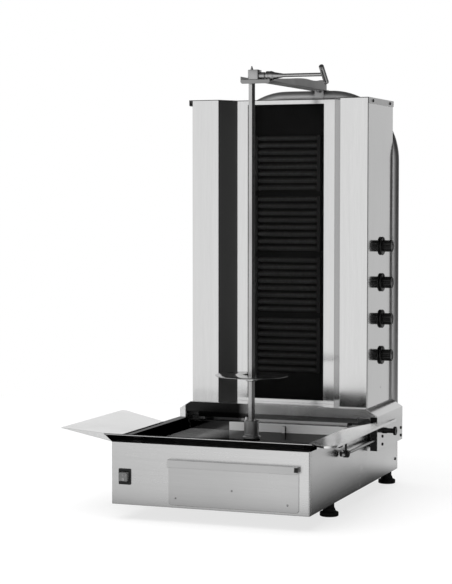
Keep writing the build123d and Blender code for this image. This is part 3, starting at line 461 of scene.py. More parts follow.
class GRILL_OT_finishes(Operator):
    """Make every finish and put it on the frame's own nodes"""
    bl_idname = "grill.finishes"
    bl_label = "Finishes"

    def execute(self, context):
        steels, plastics = context.scene.grill_steel, context.scene.grill_plastic
        make_grain_group()
        make_edge_group()
        sheet, bar, lines = tuple(steels.sheet_tone), tuple(steels.bar_tone), steels.grain * 0.12
        steel("Sheet lines upright", sheet, "z", 0.1, lines)
        steel("Folded panels", sheet, "z", 0.1, lines, marks=painted_facet_shade, dull=left_facet)
        steel("Wing sheet", shade(sheet, 1.2), "y", 0.2, lines)
        steel("Sheet lines across", sheet, "x", 0.24, lines)
        steel("Sheet lines along", sheet, "y", 0.22, lines)
        steel("Drawer sheet", shade(sheet, 0.86), "x", 0.28, lines)
        steel("Portal sheet", shade(sheet, 1.3), "x", 0.2, lines, edge_width=0.0016, marks=portal_painted_shade)
        steel("Socket steel", (0.62, 0.62, 0.62), "z", 0.3, lines, edge_width=0.0008, fineness=400.0)
        steel("Lid sheet", shade(sheet, 0.9), "x", 0.3, lines, edge_width=0.0002, marks=lid_painted_shadow_line)
        steel("Satin tube", (0.66, 0.66, 0.66), "x", 0.45, lines)
        steel("Raw steel", (0.34, 0.34, 0.34), "y", 0.36, lines, stain=0.3)
        steel("Pan steel", shade(steels.pan_tone, 0.65), "y", 0.06, lines, stain=0.3, marks=pan_painted_light,
            glance=0.22, film=pan_film)
        steel("Cheek sheet", sheet, "z", 0.1, lines, marks=cheek_painted_shade)
        # The apron takes the same painted shade as the portal.
        steel("Apron sheet", shade(sheet, 0.42), "x", 0.2, lines, marks=portal_painted_shade, glance=0.4)
        steel("Turned bar", bar, "none", 0.24, lines, edge_width=0.0008, fineness=500.0)
        steel("Drawn bar", shade(bar, 1.2), "z", 0.26, 0.15, edge_width=0.0008, stain=0.25)
        steel("Drawn rod", bar, "y", 0.24, 0.1, edge_width=0.0006)
        steel("Disc steel", shade(sheet, 0.8), "none", 0.14, lines, stain=0.2)
        steel("Block steel", (0.5, 0.5, 0.5), "none", 0.38, lines, edge_width=0.0014, fineness=300.0)
        steel("Heat-dulled steel", (0.1, 0.1, 0.1), "z", 0.5, 0.2, stain=0.6)
        steel("Reflector sheet", (0.03, 0.03, 0.03), "x", 0.5, 0.1, stain=0.7)
        make_zinc(steels.zinc_tone)
        make_glass()
        make_sheath()
        moulded("Black moulding", plastics.black_tone, 0.38, specular=0.35)
        moulded("Foot rubber", plastics.rubber_tone, 0.7, pores=400.0, relief=0.5, specular=0.3)
        moulded("Ivory moulding", (0.6, 0.6, 0.57), 0.45, lift=1.15)
        moulded("Motor enamel", (0.03, 0.03, 0.032), 0.35, pores=160.0, relief=0.2, depth=0.0002)
        moulded("Cast housing", (0.5, 0.5, 0.51), 0.48, pores=500.0, relief=0.5, depth=0.00015, metallic=1.0,
            lift=1.3)
        moulded("Blackened screw", (0.03, 0.03, 0.03), 0.35, pores=900.0, metallic=0.7)
        moulded("Printed mark", plastics.mark_tone, 0.5, lift=1.0)
        moulded("Rocker cap", (0.13, 0.13, 0.13), 0.32, lift=1.3)
        for finish, names in NODES_OF_FINISH.items():
            dress(finish, *(nodes[name] for name in names.split()))
        return {"FINISHED"}


# Stage


def make_ramp(net, value, stops):
    """Grey that follows a value from -1 to 1 through its (value, grey) stops."""
    ramp = net.add("ShaderNodeValToRGB", {"Fac": net.ranged(value, -1.0, 1.0)})
    elements = ramp.color_ramp.elements
    for index, (place, grey) in enumerate(stops):
        element = elements[index] if index < 2 else elements.new((place + 1) / 2)
        element.position = (place + 1) / 2
        element.color = (grey, grey, grey, 1)
    return ramp.outputs["Color"]


def mixed(net, factor, first, second):
    """One shader or the other, by a factor."""
    return net.add("ShaderNodeMixShader", {0: factor, 1: first.outputs[0], 2: second.outputs[0]})


def white(net, kind, strength=1.0):
    return net.add(kind, {"Color": (1, 1, 1, 1), "Strength": strength})


def make_floor(tone):
    """Pale floor. In the steel's reflections it glows as a painted reflection, dimmer towards the cook's
    right and with a painted shadow under the grill; its own shade is kept light.
    """
    clear_selection()
    bpy.ops.mesh.primitive_plane_add(size=3.6, location=(0, 0, -0.0005))
    floor = bpy.context.object
    floor.name = "studio_floor"
    bpy.ops.object.transform_apply(location=True, rotation=True, scale=True)
    net = start_material("Pale floor")
    place = net.spot()
    clouds = net.noise(place, 2.0, 3.0)
    paint = net.principled(Base_Color=net.tones(clouds, shade(tone, 0.99), tone), Roughness=0.9,
        Specular_IOR_Level=0.1)
    sideways, forwards = net.along(place, "X"), net.along(place, "Y")
    rightwards = make_ramp(net, sideways, ((-1.0, 0.5), (-0.2, 0.75), (0.15, 0.95), (0.5, 0.62), (1.0, 0.48)))
    beside = net.math("SUBTRACT", net.math("ABSOLUTE", sideways), 0.3)
    ahead = net.math("SUBTRACT", net.math("ABSOLUTE", forwards), 0.4)
    # Painted shadow: the floor's glow in reflections goes dark under and around the grill.
    under = make_ramp(net, net.larger(beside, ahead), ((0.0, 0.02), (0.09, 0.03), (0.3, 1.0)))
    mirrored = white(net, "ShaderNodeEmission", net.times(rightwards, under))
    pale = mixed(net, 0.75, paint, white(net, "ShaderNodeEmission"))
    path = net.add("ShaderNodeLightPath").outputs
    direct = mixed(net, path["Is Camera Ray"], paint, pale)
    seen = mixed(net, path["Is Glossy Ray"], direct, mirrored)
    net.add("ShaderNodeOutputMaterial", {"Surface": seen.outputs[0]})
    floor.data.materials.append(bpy.data.materials["Pale floor"])


def make_room():
    """Room that is bright at the front, left and back, dark to the cook's right and dim overhead."""
    world = bpy.data.worlds.new("Studio")
    bpy.context.scene.world = world
    world.use_nodes = True
    world.node_tree.nodes.clear()
    sky = Net(world.node_tree)
    around = sky.add("ShaderNodeTexCoord").outputs["Generated"]
    side = sky.add("ShaderNodeVectorMath", {0: around, 1: DARK_SIDE},
        operation="DOT_PRODUCT").outputs["Value"]
    walls = make_ramp(sky, side, ((-1.0, 0.9), (0.15, 0.95), (0.5, 0.52), (0.74, 0.06), (1.0, 0.035)))
    ceiling = make_ramp(sky, sky.along(around, "Z"), ((-1.0, 1.0), (0.2, 1.0), (0.42, 0.4), (0.66, 0.12),
        (1.0, 0.06)))
    seen = sky.add("ShaderNodeLightPath").outputs["Is Camera Ray"]
    room = white(sky, "ShaderNodeBackground", sky.times(walls, ceiling))
    both = mixed(sky, seen, room, white(sky, "ShaderNodeBackground"))
    sky.add("ShaderNodeOutputWorld", {"Surface": both.outputs[0]})


class GRILL_OT_stage(Operator):
    """Pale floor, soft lights, sky and the camera"""
    bl_idname = "grill.stage"
    bl_label = "Stage"

    def execute(self, context):
        light = context.scene.grill_light
        make_floor(light.backdrop_tone)
        bpy.ops.object.light_add(type="AREA", location=(-1.9, -3.2, 1.7))
        key = context.object
        key.name = "key_light"
        key.data.energy = light.key_power
        key.data.size = 1.6
        key.rotation_euler = (Vector((0, 0, 0.6)) - key.location).to_track_quat("-Z", "Y").to_euler()
        bpy.ops.object.light_add(type="SUN", location=(0, 0, 4), rotation=(radians(12), radians(-10), 0))
        overhead = context.object
        overhead.name = "floor_light"
        overhead.data.energy = light.floor_light
        overhead.data.angle = radians(70)
        overhead.visible_glossy = key.visible_glossy = False
        make_room()
        bpy.ops.object.camera_add(location=Vector(CAMERA_PLACE) + BENCH, rotation=CAMERA_ANGLES)
        camera = context.object
        camera.name = "photo_camera"
        camera.data.lens = light.camera_lens
        camera.data.sensor_width = 36
        camera.data.clip_end = 100
        context.scene.camera = camera
        context.scene.view_settings.view_transform = "Standard"
        return {"FINISHED"}


# Modelling by hand


def clear_selection():
    if bpy.context.object and bpy.context.object.mode != "OBJECT":
        bpy.ops.object.mode_set(mode="OBJECT")
    bpy.ops.object.select_all(action="DESELECT")


def make_active(piece):
    clear_selection()
    piece.select_set(True)
    bpy.context.view_layer.objects.active = piece


def chain(points):
    """A piece that starts as a small plane, is merged to one vertex and drawn on from point to point."""
    clear_selection()
    bpy.ops.mesh.primitive_plane_add(size=0.01, location=(0, 0, 0))
    piece = bpy.context.object
    bpy.ops.object.mode_set(mode="EDIT")
    bpy.context.tool_settings.mesh_select_mode = (True, False, False)
    bpy.ops.mesh.select_all(action="SELECT")
    bpy.ops.mesh.merge(type="CENTER")
    bpy.ops.transform.translate(value=Vector(points[0]))
    for here, there in zip(points, points[1:]):
        bpy.ops.mesh.extrude_vertices_move(TRANSFORM_OT_translate={"value": Vector(there) - Vector(here)})
    bpy.ops.mesh.select_all(action="SELECT")
    return piece


def leave(piece):
    """Close edit mode with the piece's normals facing out."""
    bpy.ops.mesh.select_all(action="SELECT")
    bpy.ops.mesh.remove_doubles(threshold=0.00001)
    bpy.ops.mesh.normals_make_consistent(inside=False)
    bpy.ops.object.mode_set(mode="OBJECT")
    return piece


def turned(profile, steps=48):
    """A turned piece: (radius, height) points in millimetres, spun round z."""
    piece = chain([(r * MM, 0, z * MM) for r, z in profile])
    bpy.ops.mesh.spin(steps=steps, angle=2 * pi, center=(0, 0, 0), axis=(0, 0, 1))
    return leave(piece)


def lathe(profile, steps=48, angle=30):
    """A turned piece with smooth shading."""
    return soften(turned(profile, steps), 0, angle=angle)


def drill(radius, low, high, steps=24):
    """A round tool on the z axis, for holes."""
    return turned([(0, low), (radius, low), (radius, high), (0, high)], steps)


def slab(outline, low, high, *edges):
    """A prism: (x, y) outline in millimetres, raised from low to high along z, edges as in soften."""
    piece = chain([(x * MM, y * MM, low * MM) for x, y in outline])
    bpy.ops.mesh.edge_face_add()
    bpy.ops.mesh.extrude_region_move(TRANSFORM_OT_translate={"value": (0, 0, (high - low) * MM)})
    leave(piece)
    return soften(piece, *edges) if edges else piece


def soften(piece, width=0.6, segments=2, angle=30):
    """Broken edges of a width in millimetres, and smooth shading."""
    make_active(piece)
    if width:
        modifier = piece.modifiers.new("Broken edges", "BEVEL")
        modifier.width = width * MM
        modifier.segments = segments
        modifier.limit_method = "ANGLE"
        modifier.angle_limit = radians(angle)
        bpy.ops.object.modifier_apply(modifier=modifier.name)
    bpy.ops.object.shade_smooth_by_angle(angle=radians(angle))
    return piece


def settle(piece, place, up=Z, ahead=X, start=Vector()):
    """Stand a piece on its place in millimetres from a start, its z along up and its x as near to ahead as
    can be, then apply that."""
    make_active(piece)
    up = Vector(up).normalized()
    ahead = Vector(ahead)
    ahead = (ahead - up * ahead.dot(up)).normalized()
    turn = Matrix((ahead, up.cross(ahead), up)).transposed().to_4x4()
    piece.matrix_world = Matrix.Translation(start + Vector(place) * MM) @ turn
    bpy.ops.object.transform_apply(location=True, rotation=True, scale=True)
    return piece


def stand(piece, place=(0, 0, 0), up=Z, ahead=X):
    """Settle a piece on a bench point."""
    return settle(piece, place, up, ahead, BENCH)


def cut(piece, *tools):
    """Cut other pieces out of this one."""
    for tool in tools:
        make_active(piece)
        modifier = piece.modifiers.new("Cut", "BOOLEAN")
        modifier.object = tool
        modifier.operation = "DIFFERENCE"
        modifier.solver = "EXACT"
        bpy.ops.object.modifier_apply(modifier=modifier.name)
        bpy.data.objects.remove(tool)
    return piece


def join(*parts):
    """Several worked forms of one physical piece, as one object."""
    make_active(parts[0])
    for part in parts:
        part.select_set(True)
    bpy.ops.object.join()
    return parts[0]


def copied(piece):
    twin = piece.copy()
    twin.data = piece.data.copy()
    bpy.context.scene.collection.objects.link(twin)
    return twin


def mirror(half):
    """An outline or profile, completed by its mirror image across the first axis."""
    return half + [(a, -b) for a, b in reversed(half)]


def handed(side, outline):
    """An outline on the right (side 1) or on the left (side -1)."""
    return [(side * x, y) for x, y in outline]


def polygon(radius, corners):
    return [(radius * cos(2 * pi * k / corners), radius * sin(2 * pi * k / corners)) for k in range(corners)]


def rounded(width, depth, radius):
    """Outline of a rectangle round the origin with rounded corners."""
    outline = []
    for x, y, start in ((1, 1, 0), (-1, 1, 90), (-1, -1, 180), (1, -1, 270)):
        for step in range(4):
            angle = radians(start + step * 30)
            outline.append((x * (width / 2 - radius) + radius * cos(angle),
                y * (depth / 2 - radius) + radius * sin(angle)))
    return outline


def thread(crest, root, start, rise, pitch, turns):
    """Profile of a screw thread: crests and roots in turn, from a start height on."""
    profile = []
    for step in range(turns):
        profile += [(crest, start + step * pitch), (root, start + rise + step * pitch)]
    return profile


def dish_face(piece, margin, depth):
    """Sink the top face inside a margin, as on a knob's cap."""
    make_active(piece)
    top = max(piece.data.polygons, key=lambda face: face.center.z + face.normal.z).index
    bpy.ops.object.mode_set(mode="EDIT")
    bpy.context.tool_settings.mesh_select_mode = (False, False, True)
    bpy.ops.mesh.select_all(action="DESELECT")
    bpy.ops.object.mode_set(mode="OBJECT")
    piece.data.polygons[top].select = True
    bpy.ops.object.mode_set(mode="EDIT")
    bpy.ops.mesh.inset(thickness=margin * MM, depth=0)
    bpy.ops.mesh.inset(thickness=depth * MM, depth=-depth * MM)
    bpy.ops.object.mode_set(mode="OBJECT")


def hand_over(piece, name, body, replaced, finish=None):
    """Name a finished piece, give it its material, and say what it rides on and stands for."""
    piece.name = name
    if finish:
        dress(finish, piece)
    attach(piece, body)
    if replaced:
        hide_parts(*replaced)


# Pieces


class GRILL_OT_knobs(Operator):
    """Four control knobs, each with a skirt, a fluted grip, a moulded pointer and its shaft"""
    bl_idname = "grill.knobs"
    bl_label = "Control knobs"

    def execute(self, context):
        sizes = context.scene.grill_sizes
        rim = sizes.knob_radius / MM
        skirt = lathe([(0, 0), (rim - 1.2, 0), (rim, 0.8), (rim, 3.4), (rim - 0.9, 4.7), (18, 5.2), (0, 5.2)],
            72)
        waves = sizes.knob_flutes
        outline = []
        for step in range(waves * 10):
            angle = 2 * pi * step / (waves * 10)
            radius = 14.7 + 0.7 * cos(waves * angle)
            outline.append((radius * cos(angle), radius * sin(angle)))
        grip = slab(outline, 5, 29.7)
        dish_face(grip, 2.2, 0.7)
        soften(grip, 1.1, 3, 50)
        pointer = slab(mirror([(13, -1.3), (22, -0.8)]), 5, 6.4, 0.4, 2, 50)
        ridge = slab(mirror([(2, -1.1), (13.8, -1.1)]), 28.6, 29.6, 0.3, 2, 50)
        shaft = lathe([(0, -23.1), (3.4, -23.1), (4, -22.5), (4, 0), (0, 0)], 32)
        dress("Black moulding", skirt, grip, pointer, ridge)
        dress("Turned bar", shaft)
        pattern = join(skirt, grip, pointer, ridge, shaft)
        for index, height in enumerate(KNOB_HEIGHTS, start=1):
            knob = stand(copied(pattern), (KNOB_X, KNOB_Y, height), X, Z)
            hand_over(knob, f"control_knob_{index}", f"control_{index}", [f"knob_{index}"])
        bpy.data.objects.remove(pattern)
        return {"FINISHED"}


class GRILL_OT_feet(Operator):
    """Four levelling feet: ribbed rubber pad and neck on a threaded stud"""
    bl_idname = "grill.feet"
    bl_label = "Levelling feet"

    def execute(self, context):
        pad = lathe([(0, 0), (21.5, 0), (23.2, 1), (23.5, 2.5), (23.5, 8.8), (22.6, 10.4), (21, 11),
            (18.4, 11.9), (16.4, 14), (15.3, 17), (14.9, 19.6), (13.6, 20.4), (13, 21.4), (13, 23.4),
            (12.4, 24), (12.4, 24.8), (13, 25.4), (13, 27.4), (12.4, 28), (12.4, 28.8), (13, 29.4),
            (13, 36.4), (12.2, 37.4), (5.2, 37.4), (0, 37.4)], 64, 40)
        stud = lathe([(0, 37.4), (4.4, 37.4)] + thread(5, 4.35, 38, 0.6, 1.25, 17) + [(4.35, 60), (0, 60)],
            32, 20)
        dress("Foot rubber", pad)
        dress("Zinc plate", stud)
        pattern = join(pad, stud)
        for side, x in (("left", -FOOT_X), ("right", FOOT_X)):
            for end, y in (("front", FOOT_FRONT_Y), ("rear", FOOT_REAR_Y)):
                foot = stand(copied(pattern), (x, y, 0))
                hand_over(foot, f"levelling_foot_{end}_{side}", f"foot_{end}_{side}_body",
                    [f"foot_{end}_{side}"])
        bpy.data.objects.remove(pattern)
        return {"FINISHED"}


class GRILL_OT_switch(Operator):
    """Mains switch: snap-in bezel with a rocker that carries the two usual marks"""
    bl_idname = "grill.switch"
    bl_label = "Rocker switch"

    def execute(self, context):
        # Drawn lying on its back: x to the right, y up the panel, z out of the panel
        bezel = cut(slab(rounded(32, 39, 2), 0, 3), slab(rounded(22, 26, 0.8), -1, 4))
        body = cut(slab(rounded(26, 30, 1), -25, 1), slab(rounded(22, 26, 0.8), -20, 4))
        soften(bezel, 0.7, 3, 40)
        soften(body, 0.3, 1, 40)
        clips = [slab(mirror([(side * 13, -4), (side * 13.45, -4)]), -14, -3, 0.1, 1, 40) for side in (-1, 1)]
        tabs = [slab(mirror([(x - 0.4, -3), (x + 0.4, -3)]), -27.5, -24, 0.2, 1) for x in (-6, 6)]
        dress("Black moulding", bezel, body, *clips)
        dress("Zinc plate", *tabs)
        switch = stand(join(bezel, body, *clips, *tabs), (SWITCH_X, 0, SWITCH_Z), -Y, X)
        hand_over(switch, "mains_switch", "base", ["switch_housing"])

        # The rocker is drawn from the side and raised across its width
        rocker = slab([(10.4, 12.4), (9.4, 13.7), (7.8, 13.9), (0, 12.4), (-9.4, 12.9), (-10.4, 12),
            (-10.4, 2), (-12.4, -1.3), (-12.6, -4), (-11.8, -8.4), (-9, -12.8), (-5, -15.4), (5, -15.4),
            (9, -12.8), (11.8, -8.4), (12.6, -4), (12.4, -1.3), (10.4, 2)], -10.6, 10.6, 0.8, 3, 35)
        stand(rocker, (SWITCH_X, 0, SWITCH_Z), X, Z)
        dress("Rocker cap", rocker)
        stroke = slab(rounded(1.1, 5.4, 0.3), -0.1, 0.12, 0)
        stand(stroke, (SWITCH_X, -13.35, SWITCH_Z + 5), (0, -1, -0.19), X)
        ring = lathe([(1.8, -0.1), (2.8, -0.1), (2.8, 0.12), (1.8, 0.12), (1.8, -0.1)], 36)
        stand(ring, (SWITCH_X, -12.7, SWITCH_Z - 5.2), (0, -1, 0.05), X)
        dress("Printed mark", stroke, ring)
        hand_over(join(rocker, stroke, ring), "mains_rocker", "rocker", ["switch_rocker"])
        return {"FINISHED"}


class GRILL_OT_spit_fittings(Operator):
    """Turned socket with its pin, the meat disc on its hub and the disc's thumbscrew"""
    bl_idname = "grill.spit_fittings"
    bl_label = "Spit fittings"

    def execute(self, context):
        ahead = Matrix.Rotation(SPIT_TURN, 3, "Z") @ X
        socket = lathe([(8.02, 172.5), (22, 172.5), (23, 173.4), (23, 177.4), (22, 178.5), (19.9, 178.7),
            (18.9, 179.6), (18.9, 184), (18.3, 184.6), (18.3, 185.4), (18.9, 186), (18.9, 217.4), (17.5, 219),
            (8.02, 219), (8.02, 172.5)], 72)
        plug = cut(drill(10, 185.5, 219, 32), slab(rounded(12.4, 12.4, 0.5), 187, 221))
        soften(plug, 0)
        pin = lathe([(0, 211), (3, 211), (3, 225.6), (2.6, 226.6), (1.6, 227), (0, 227)], 24)
        small = lathe([(0, 211), (2.4, 211), (2.4, 222.2), (1.8, 223), (0, 223)], 24)
        cup = join(socket, plug, settle(pin, (-11.4, -7.3, 0)), settle(small, (13.2, -1.5, 0)))
        stand(cup, (0, SPIT_Y, 0), Z, ahead)
        hand_over(cup, "spit_cup", "spit", ["spit_socket"], "Socket steel")

        rim = context.scene.grill_sizes.disc_radius / MM
        disc = turned([(0, 320), (13.8, 320), (15, 321.2), (15, 331.2), (16.2, 333), (rim - 1, 333),
            (rim - 0.2, 333.3), (rim, 334), (rim - 0.2, 334.7), (rim - 1, 335), (15, 335), (14, 334.6),
            (0, 334.6)], 128)
        drains = []
        for turn in range(6):
            angle = 2 * pi * turn / 6 + 0.4
            drains.append(settle(drill(4, 330, 340), (cos(angle) * 62, sin(angle) * 62, 0)))
        bore = settle(drill(2.6, 0, 14), (-19, 0, DISC_SCREW_Z), X, Z)
        cut(disc, slab(rounded(12.6, 12.6, 0.5), 318, 337), bore, *drains)
        soften(disc, 0)
        stand(disc, (0, SPIT_Y, 0), Z, ahead)
        hand_over(disc, "meat_plate", "disc", ["meat_disc"], "Disc steel")

        wing = slab(mirror([(0, -1.9), (2, -4), (9, -5.4), (10, -4.6), (8.8, -1.6)]), -1.9, 1.9, 0.7, 2, 40)
        screw = lathe([(0, -1), (4.1, -1), (4.1, 0), (2.5, 0.6), (2.5, 19.2), (1.8, 20), (0, 20)], 24)
        settle(screw, (0, 0, 0), X, Z)
        wing = join(settle(wing, (10, 0, 0), Y, -X), screw)
        stand(wing, Vector((0, SPIT_Y, DISC_SCREW_Z)) - ahead * 27, Z, ahead)
        hand_over(wing, "disc_wing_screw", "disc_thumbscrew", ["disc_screw"], "Blackened screw")
        return {"FINISHED"}


class GRILL_OT_top_clamp(Operator):
    """Bearing block, centre pin, clamping screw and tommy bar at the top of the spit"""
    bl_idname = "grill.top_clamp"
    bl_label = "Top clamp"

    def execute(self, context):
        block = slab(mirror([(-6.5, -11), (-4, -13.6), (19.4, -14), (22, -11.5)]), 1085.8, 1111, 1.2, 3, 50)
        boss = lathe([(5.15, 0), (9.6, 0), (9.6, 12.8), (8.8, 14), (8.2, 15), (5.15, 15), (5.15, 0)])
        settle(boss, (22, 0, CLAMP_Z), X, Z)
        bore = settle(drill(5.05, -20, 30, 40), (24, 0, CLAMP_Z), X, Z)
        cut(block, bore, drill(3.05, 1080, 1120, 32))
        cap = lathe([(3.2, 1110.6), (6.2, 1110.6), (6.2, 1111), (3.2, 1111), (3.2, 1110.6)], 32)
        block = stand(join(block, boss, cap), (0, SPIT_Y, 0))
        hand_over(block, "spit_block", "base", ["bearing_block"], "Block steel")

        pin = lathe([(0, 1071), (2, 1071), (3, 1072), (3, 1111.3), (4, 1111.3), (4, 1112.6), (3.2, 1113.4),
            (3, 1114.6), (2.2, 1117.4), (1.3, 1120.4), (0.7, 1121), (0, 1121)], 32)
        stand(pin, (0, SPIT_Y, 0))
        hand_over(pin, "spit_pin", "pin", ["centre_pin"], "Turned bar")

        screw = lathe([(0, 6), (4.3, 6)] + thread(4.95, 4.35, 6.7, 0.7, 1.45, 22) + [(4.6, 39), (10.6, 39),
            (11.8, 40.2), (11.8, 46), (11.2, 46.8), (11.2, 48.2), (11.8, 49), (11.8, 53.6), (11.2, 55.2),
            (10, 58.6), (9.2, 60), (8.4, 63), (7.4, 69), (6, 77), (4.6, 85), (4.6, 191), (0, 191)])
        settle(screw, (0, 0, 0), X, Z)
        cut(screw, settle(drill(6.65, -20, 20, 48), (BAR_X, 0, 0), BAR_SLOPE, X))
        stand(screw, (0, SPIT_Y, CLAMP_Z))
        hand_over(screw, "spindle", "clamp", ["clamp_screw"], "Turned bar")
        bar = lathe(mirror([(0, -30), (4.6, -30), (6.2, -29.2), (6.6, -27.6), (6.6, -24.4), (6.1, -23.8),
            (6.1, -22.8), (6.6, -22.2)]), 40)
        stand(bar, (BAR_X, SPIT_Y, CLAMP_Z), BAR_SLOPE, X)
        hand_over(bar, "cross_bar", "clamp", ["tommy_bar"], "Turned bar")
        return {"FINISHED"}


class GRILL_OT_side_fittings(Operator):
    """Wing nut on the guide rod, threaded guide rod and notched side clamp"""
    bl_idname = "grill.side_fittings"
    bl_label = "Side fittings"

    def execute(self, context):
        hub = lathe([(4.08, -5.8), (5.6, -5.8), (6.2, -5.2), (7, 5.2), (6.6, 6), (4.08, 6), (4.08, -5.8)], 40)
        wings = []
        for side in (-1, 1):
            wing = slab(handed(side, [(3.5, -5), (9, -7.2), (12, -6.4), (13.4, -2), (13.2, 2), (11.5, 5.6),
                (8, 6), (3.5, 4.6)]), -2, 2, 1.1, 3, 35)
            wings.append(cut(wing, drill(4.08, -8, 8, 32)))
        nut = stand(join(hub, *wings), (ROD_X, WING_NUT_Y, ROD_Z), Y, X)
        hand_over(nut, "rod_wing_nut", "rod_nut", ["wing_nut"], "Black moulding")

        rod = lathe([(0, 224), (3.4, 224)] + thread(4, 3.45, 224.7, 0.6, 1.25, 40) + [(3.45, 275), (4, 275.8),
            (4, 507.4), (3.5, 508), (0, 508)], 28, 20)
        nut = slab(polygon(6.4, 6), 502, 508, 0.5, 2, 50)
        dress("Drawn rod", rod)
        dress("Zinc plate", nut)
        rod = stand(join(rod, nut), (ROD_X, 0, ROD_Z), Y, X)
        hand_over(rod, "threaded_rod", "carriage", ["guide_rod"])

        knob = lathe([(0, -22.2), (4.4, -22.2), (5, -21.6), (5, 0.4), (8, 0.4), (8, 5.4), (7.4, 6.2),
            (6.5, 8.6), (6.5, 23), (8.4, 24.4), (11.1, 25.4), (11.5, 26.2), (11.5, 31), (10.8, 32), (4, 32),
            (3.4, 31.2), (0, 31.2)], 72)
        notches = [settle(slab(polygon(0.9, 8), 25, 33), (x, y, 0)) for x, y in polygon(11.7, 18)]
        cut(knob, join(*notches))
        soften(knob, 0)
        stand(knob, SIDE_KNOB, X, Z)
        hand_over(knob, "side_grip", "side_knob", ["side_clamp"], "Black moulding")
        return {"FINISHED"}


class GRILL_OT_heaters(Operator):
    """Thirty-two sheathed heater bars with ferrules, in four zones between their end channels"""
    bl_idname = "grill.heaters"
    bl_label = "Heater bars"

    def execute(self, context):
        radius = context.scene.grill_sizes.bar_radius / MM
        bar = lathe(mirror([(0, -85), (radius - 1.6, -85), (radius - 1.2, -83), (radius - 1.2, -80.4),
            (radius - 0.2, -79.6), (radius, -78.8)]), 32)
        settle(bar, (0, HEATER_Y, 0), X, Z)
        bars = [settle(copied(bar), (0, 0,
            top - index * HEATER_PITCH)) for top in HEATER_TOPS for index in range(ZONE_BARS)]
        channels = []
        for top in HEATER_TOPS:
            bottom = top - (ZONE_BARS - 1) * HEATER_PITCH
            for side in (-1, 1):
                channel = slab(handed(side, [(84, -7), (94, -7), (94, 9), (92.8, 9), (92.8, -5.8),
                    (85.2, -5.8), (85.2, 9), (84, 9)]), bottom - 8, top + 8, 0.3, 1, 40)
                channels.append(settle(channel, (0, HEATER_Y, 0)))
        bpy.data.objects.remove(bar)
        dress("Oxidised sheath", *bars)
        dress("Heat-dulled steel", *channels)
        heaters = stand(join(*bars, *channels))
        hand_over(heaters, "heater_bars", "carriage", ["heater_elements"])
        return {"FINISHED"}


class GRILL_OT_drive(Operator):
    """Gear motor with cooling ribs, gearbox with its lid screws, and the cable gland"""
    bl_idname = "grill.drive"
    bl_label = "Drive and gland"

    def execute(self, context):
        ribs = [(0, 54), (10.6, 54), (12, 55.2), (12, 60), (27.6, 60), (30.6, 61.6)]
        for z in range(64, 109, 5):
            ribs += [(31.9, z), (31.9, z + 2), (30.2, z + 2.6), (30.2, z + 4.4)]
        motor = stand(lathe(ribs + [(31.9, 109), (31.9, 117.8), (0, 117.8)], 64), MOTOR)
        hand_over(motor, "drive_motor", "base", ["gear_motor"], "Motor enamel")

        case = slab(rounded(110, 80, 8), 118, 152)
        groove = cut(slab(rounded(120, 90, 8), 133.6, 134.8), slab(rounded(108, 78, 7), 133, 136))
        cut(case, groove, settle(drill(10.06, 122, 155, 48), (-22, -6, 0)))
        soften(case, 0.8, 2, 50)
        dress("Cast housing", case)
        screws = []
        for x in (-46, 46):
            for y in (-31, 31):
                head = turned([(0, 117.2), (3.6, 117.2), (4.2, 117.8), (4.2, 118.4), (0, 118.4)], 24)
                cut(head, slab(rounded(9, 1.1, 0.2), 116.8, 117.8))
                screws.append(settle(soften(head, 0), (x, y, 0.8)))
        dress("Zinc plate", *screws)
        case = stand(join(case, *screws), GEARBOX)
        hand_over(case, "drive_gearbox", "base", ["gearbox"])

        shell = [(5, -8), (12.6, -8), (13, -7.4), (13, -2.2), (10, -2), (10, 0), (13.4, 0.2), (13.4, 7.8),
            (11.5, 8)]
        for z in range(9, 17, 2):
            shell += [(11.5, z), (10.9, z + 0.4), (10.9, z + 1.2), (11.5, z + 1.6)]
        gland = lathe(shell + [(11.3, 18.4), (8.6, 21), (5.6, 21), (5, 20.2), (5, -8)], 60, 25)
        faces = cut(slab(polygon(14, 6), 0, 8), drill(11, -1, 9, 40))
        gland = stand(join(gland, soften(faces, 0.6, 2, 50)), GLAND, Y, X)
        hand_over(gland, "mains_gland", "base", ["cable_gland"], "Black moulding")
        return {"FINISHED"}


class GRILL_OT_wiring_parts(Operator):
    """Terminal block with clamping screws, and four energy regulators with their tabs"""
    bl_idname = "grill.wiring_parts"
    bl_label = "Wiring parts"

    def execute(self, context):
        foot = slab(rounded(70, 30, 1.5), 41.5, 53, 0.5, 2, 50)
        screws = []
        towers = []
        for x in range(-28, 29, 14):
            tower = slab(rounded(10, 22, 1), 52.5, 61.5)
            for y in (-7, 7):
                cut(tower, settle(drill(2.6, 57, 63), (0, y, 0)))
                head = turned([(0, 56.8), (2.2, 56.8), (2.2, 58.6), (1.8, 59), (0, 59)], 20)
                cut(head, slab(rounded(5, 0.7, 0.1), 58.3, 60))
                screws.append(settle(soften(head, 0), (x, y, 0)))
            towers.append(settle(soften(tower, 0.4, 2, 50), (x, 0, 0)))
        dress("Zinc plate", *screws)
        dress("Ivory moulding", foot, *towers)
        block = stand(join(foot, *towers, *screws), TERMINALS)
        hand_over(block, "terminal_strip", "base", ["terminal_block"])

        cases = []
        for height in KNOB_HEIGHTS:
            case = cut(slab(rounded(34, 32, 2), 0, 38.3, 0.8, 2, 50), drill(4.08, 10, 40, 32))
            step = slab(rounded(24, 24, 1.5), -11.5, 0.2, 0.6, 2, 50)
            tabs = [settle(slab(rounded(6, 0.8, 0.2), -12, -10, 0.1, 1, 50), (x, y, 0)) for x, y in ((-7, -6),
                (7, -6), (-7, 6), (7, 6))]
            dress("Ivory moulding", case, step)
            dress("Zinc plate", *tabs)
            cases.append(stand(join(case, step, *tabs), (REGULATOR_X, KNOB_Y, height), X, Z))
        hand_over(join(*cases), "regulator_switches", "carriage", ["energy_regulators"])
        return {"FINISHED"}


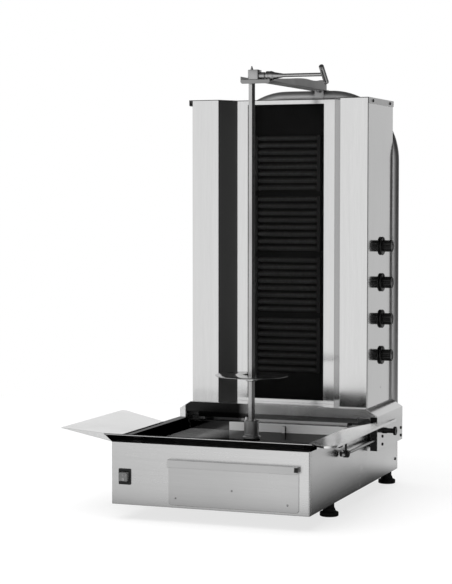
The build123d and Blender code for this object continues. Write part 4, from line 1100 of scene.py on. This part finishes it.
class GRILL_OT_drawer_trim(Operator):
    """Three flat rivets in the drawer's front, and the black plug in the open end of its grip"""
    bl_idname = "grill.drawer_trim"
    bl_label = "Drawer rivets and plug"

    def execute(self, context):
        rivets = []
        for x, z in RIVETS:
            rivet = lathe([(0, -0.2), (2.6, -0.2), (2.5, 0.1), (1.9, 0.45), (1, 0.6), (0.9, 0.35), (0, 0.35)],
                28)
            rivets.append(stand(rivet, (x, -1.8, z), -Y, X))
        hand_over(join(*rivets), "drawer_rivets", "drawer", [], "Turned bar")
        # The plug is drawn from the side, with its x along the bench's y and its y upwards
        plug = slab([(-2.2, 154.2), (-13, 154.2), (-15.4, 143.4), (-14.6, 142.6), (-2.2, 142.6)], 221, 229.4,
            0.7, 3, 35)
        stand(plug, (0, 0, 0), X, Y)
        hand_over(plug, "grip_plug", "drawer", [], "Black moulding")
        return {"FINISHED"}


# Run

OPERATORS = [GRILL_OT_finishes, GRILL_OT_knobs, GRILL_OT_feet, GRILL_OT_switch, GRILL_OT_spit_fittings,
    GRILL_OT_top_clamp, GRILL_OT_side_fittings, GRILL_OT_heaters, GRILL_OT_drive, GRILL_OT_wiring_parts,
    GRILL_OT_drawer_trim, GRILL_OT_stage]
SETTINGS = {"grill_steel": GrillSteel, "grill_plastic": GrillPlastic, "grill_sizes": GrillSizes,
    "grill_light": GrillLight}


class GRILL_PT_pieces(Panel):
    """The grill's settings and the operators that build it"""
    bl_idname = "GRILL_PT_pieces"
    bl_label = "Doner grill"
    bl_space_type = "VIEW_3D"
    bl_region_type = "UI"
    bl_category = "Grill"

    def draw(self, context):
        for name, group in SETTINGS.items():
            column = self.layout.box().column()
            for key in group.__annotations__:
                column.prop(getattr(context.scene, name), key)
        for operator in OPERATORS:
            self.layout.operator(operator.bl_idname)


CLASSES = (*SETTINGS.values(), *OPERATORS, GRILL_PT_pieces)


def register():
    for kind in CLASSES:
        bpy.utils.register_class(kind)
    for name, group in SETTINGS.items():
        setattr(bpy.types.Scene, name, PointerProperty(type=group))


def unregister():
    for name in SETTINGS:
        delattr(bpy.types.Scene, name)
    for kind in reversed(CLASSES):
        bpy.utils.unregister_class(kind)


def main():
    register()
    for operator in OPERATORS:
        section, action = operator.bl_idname.split(".")
        getattr(getattr(bpy.ops, section), action)()
    bpy.context.view_layer.update()


if __name__ == "__main__":
    main()
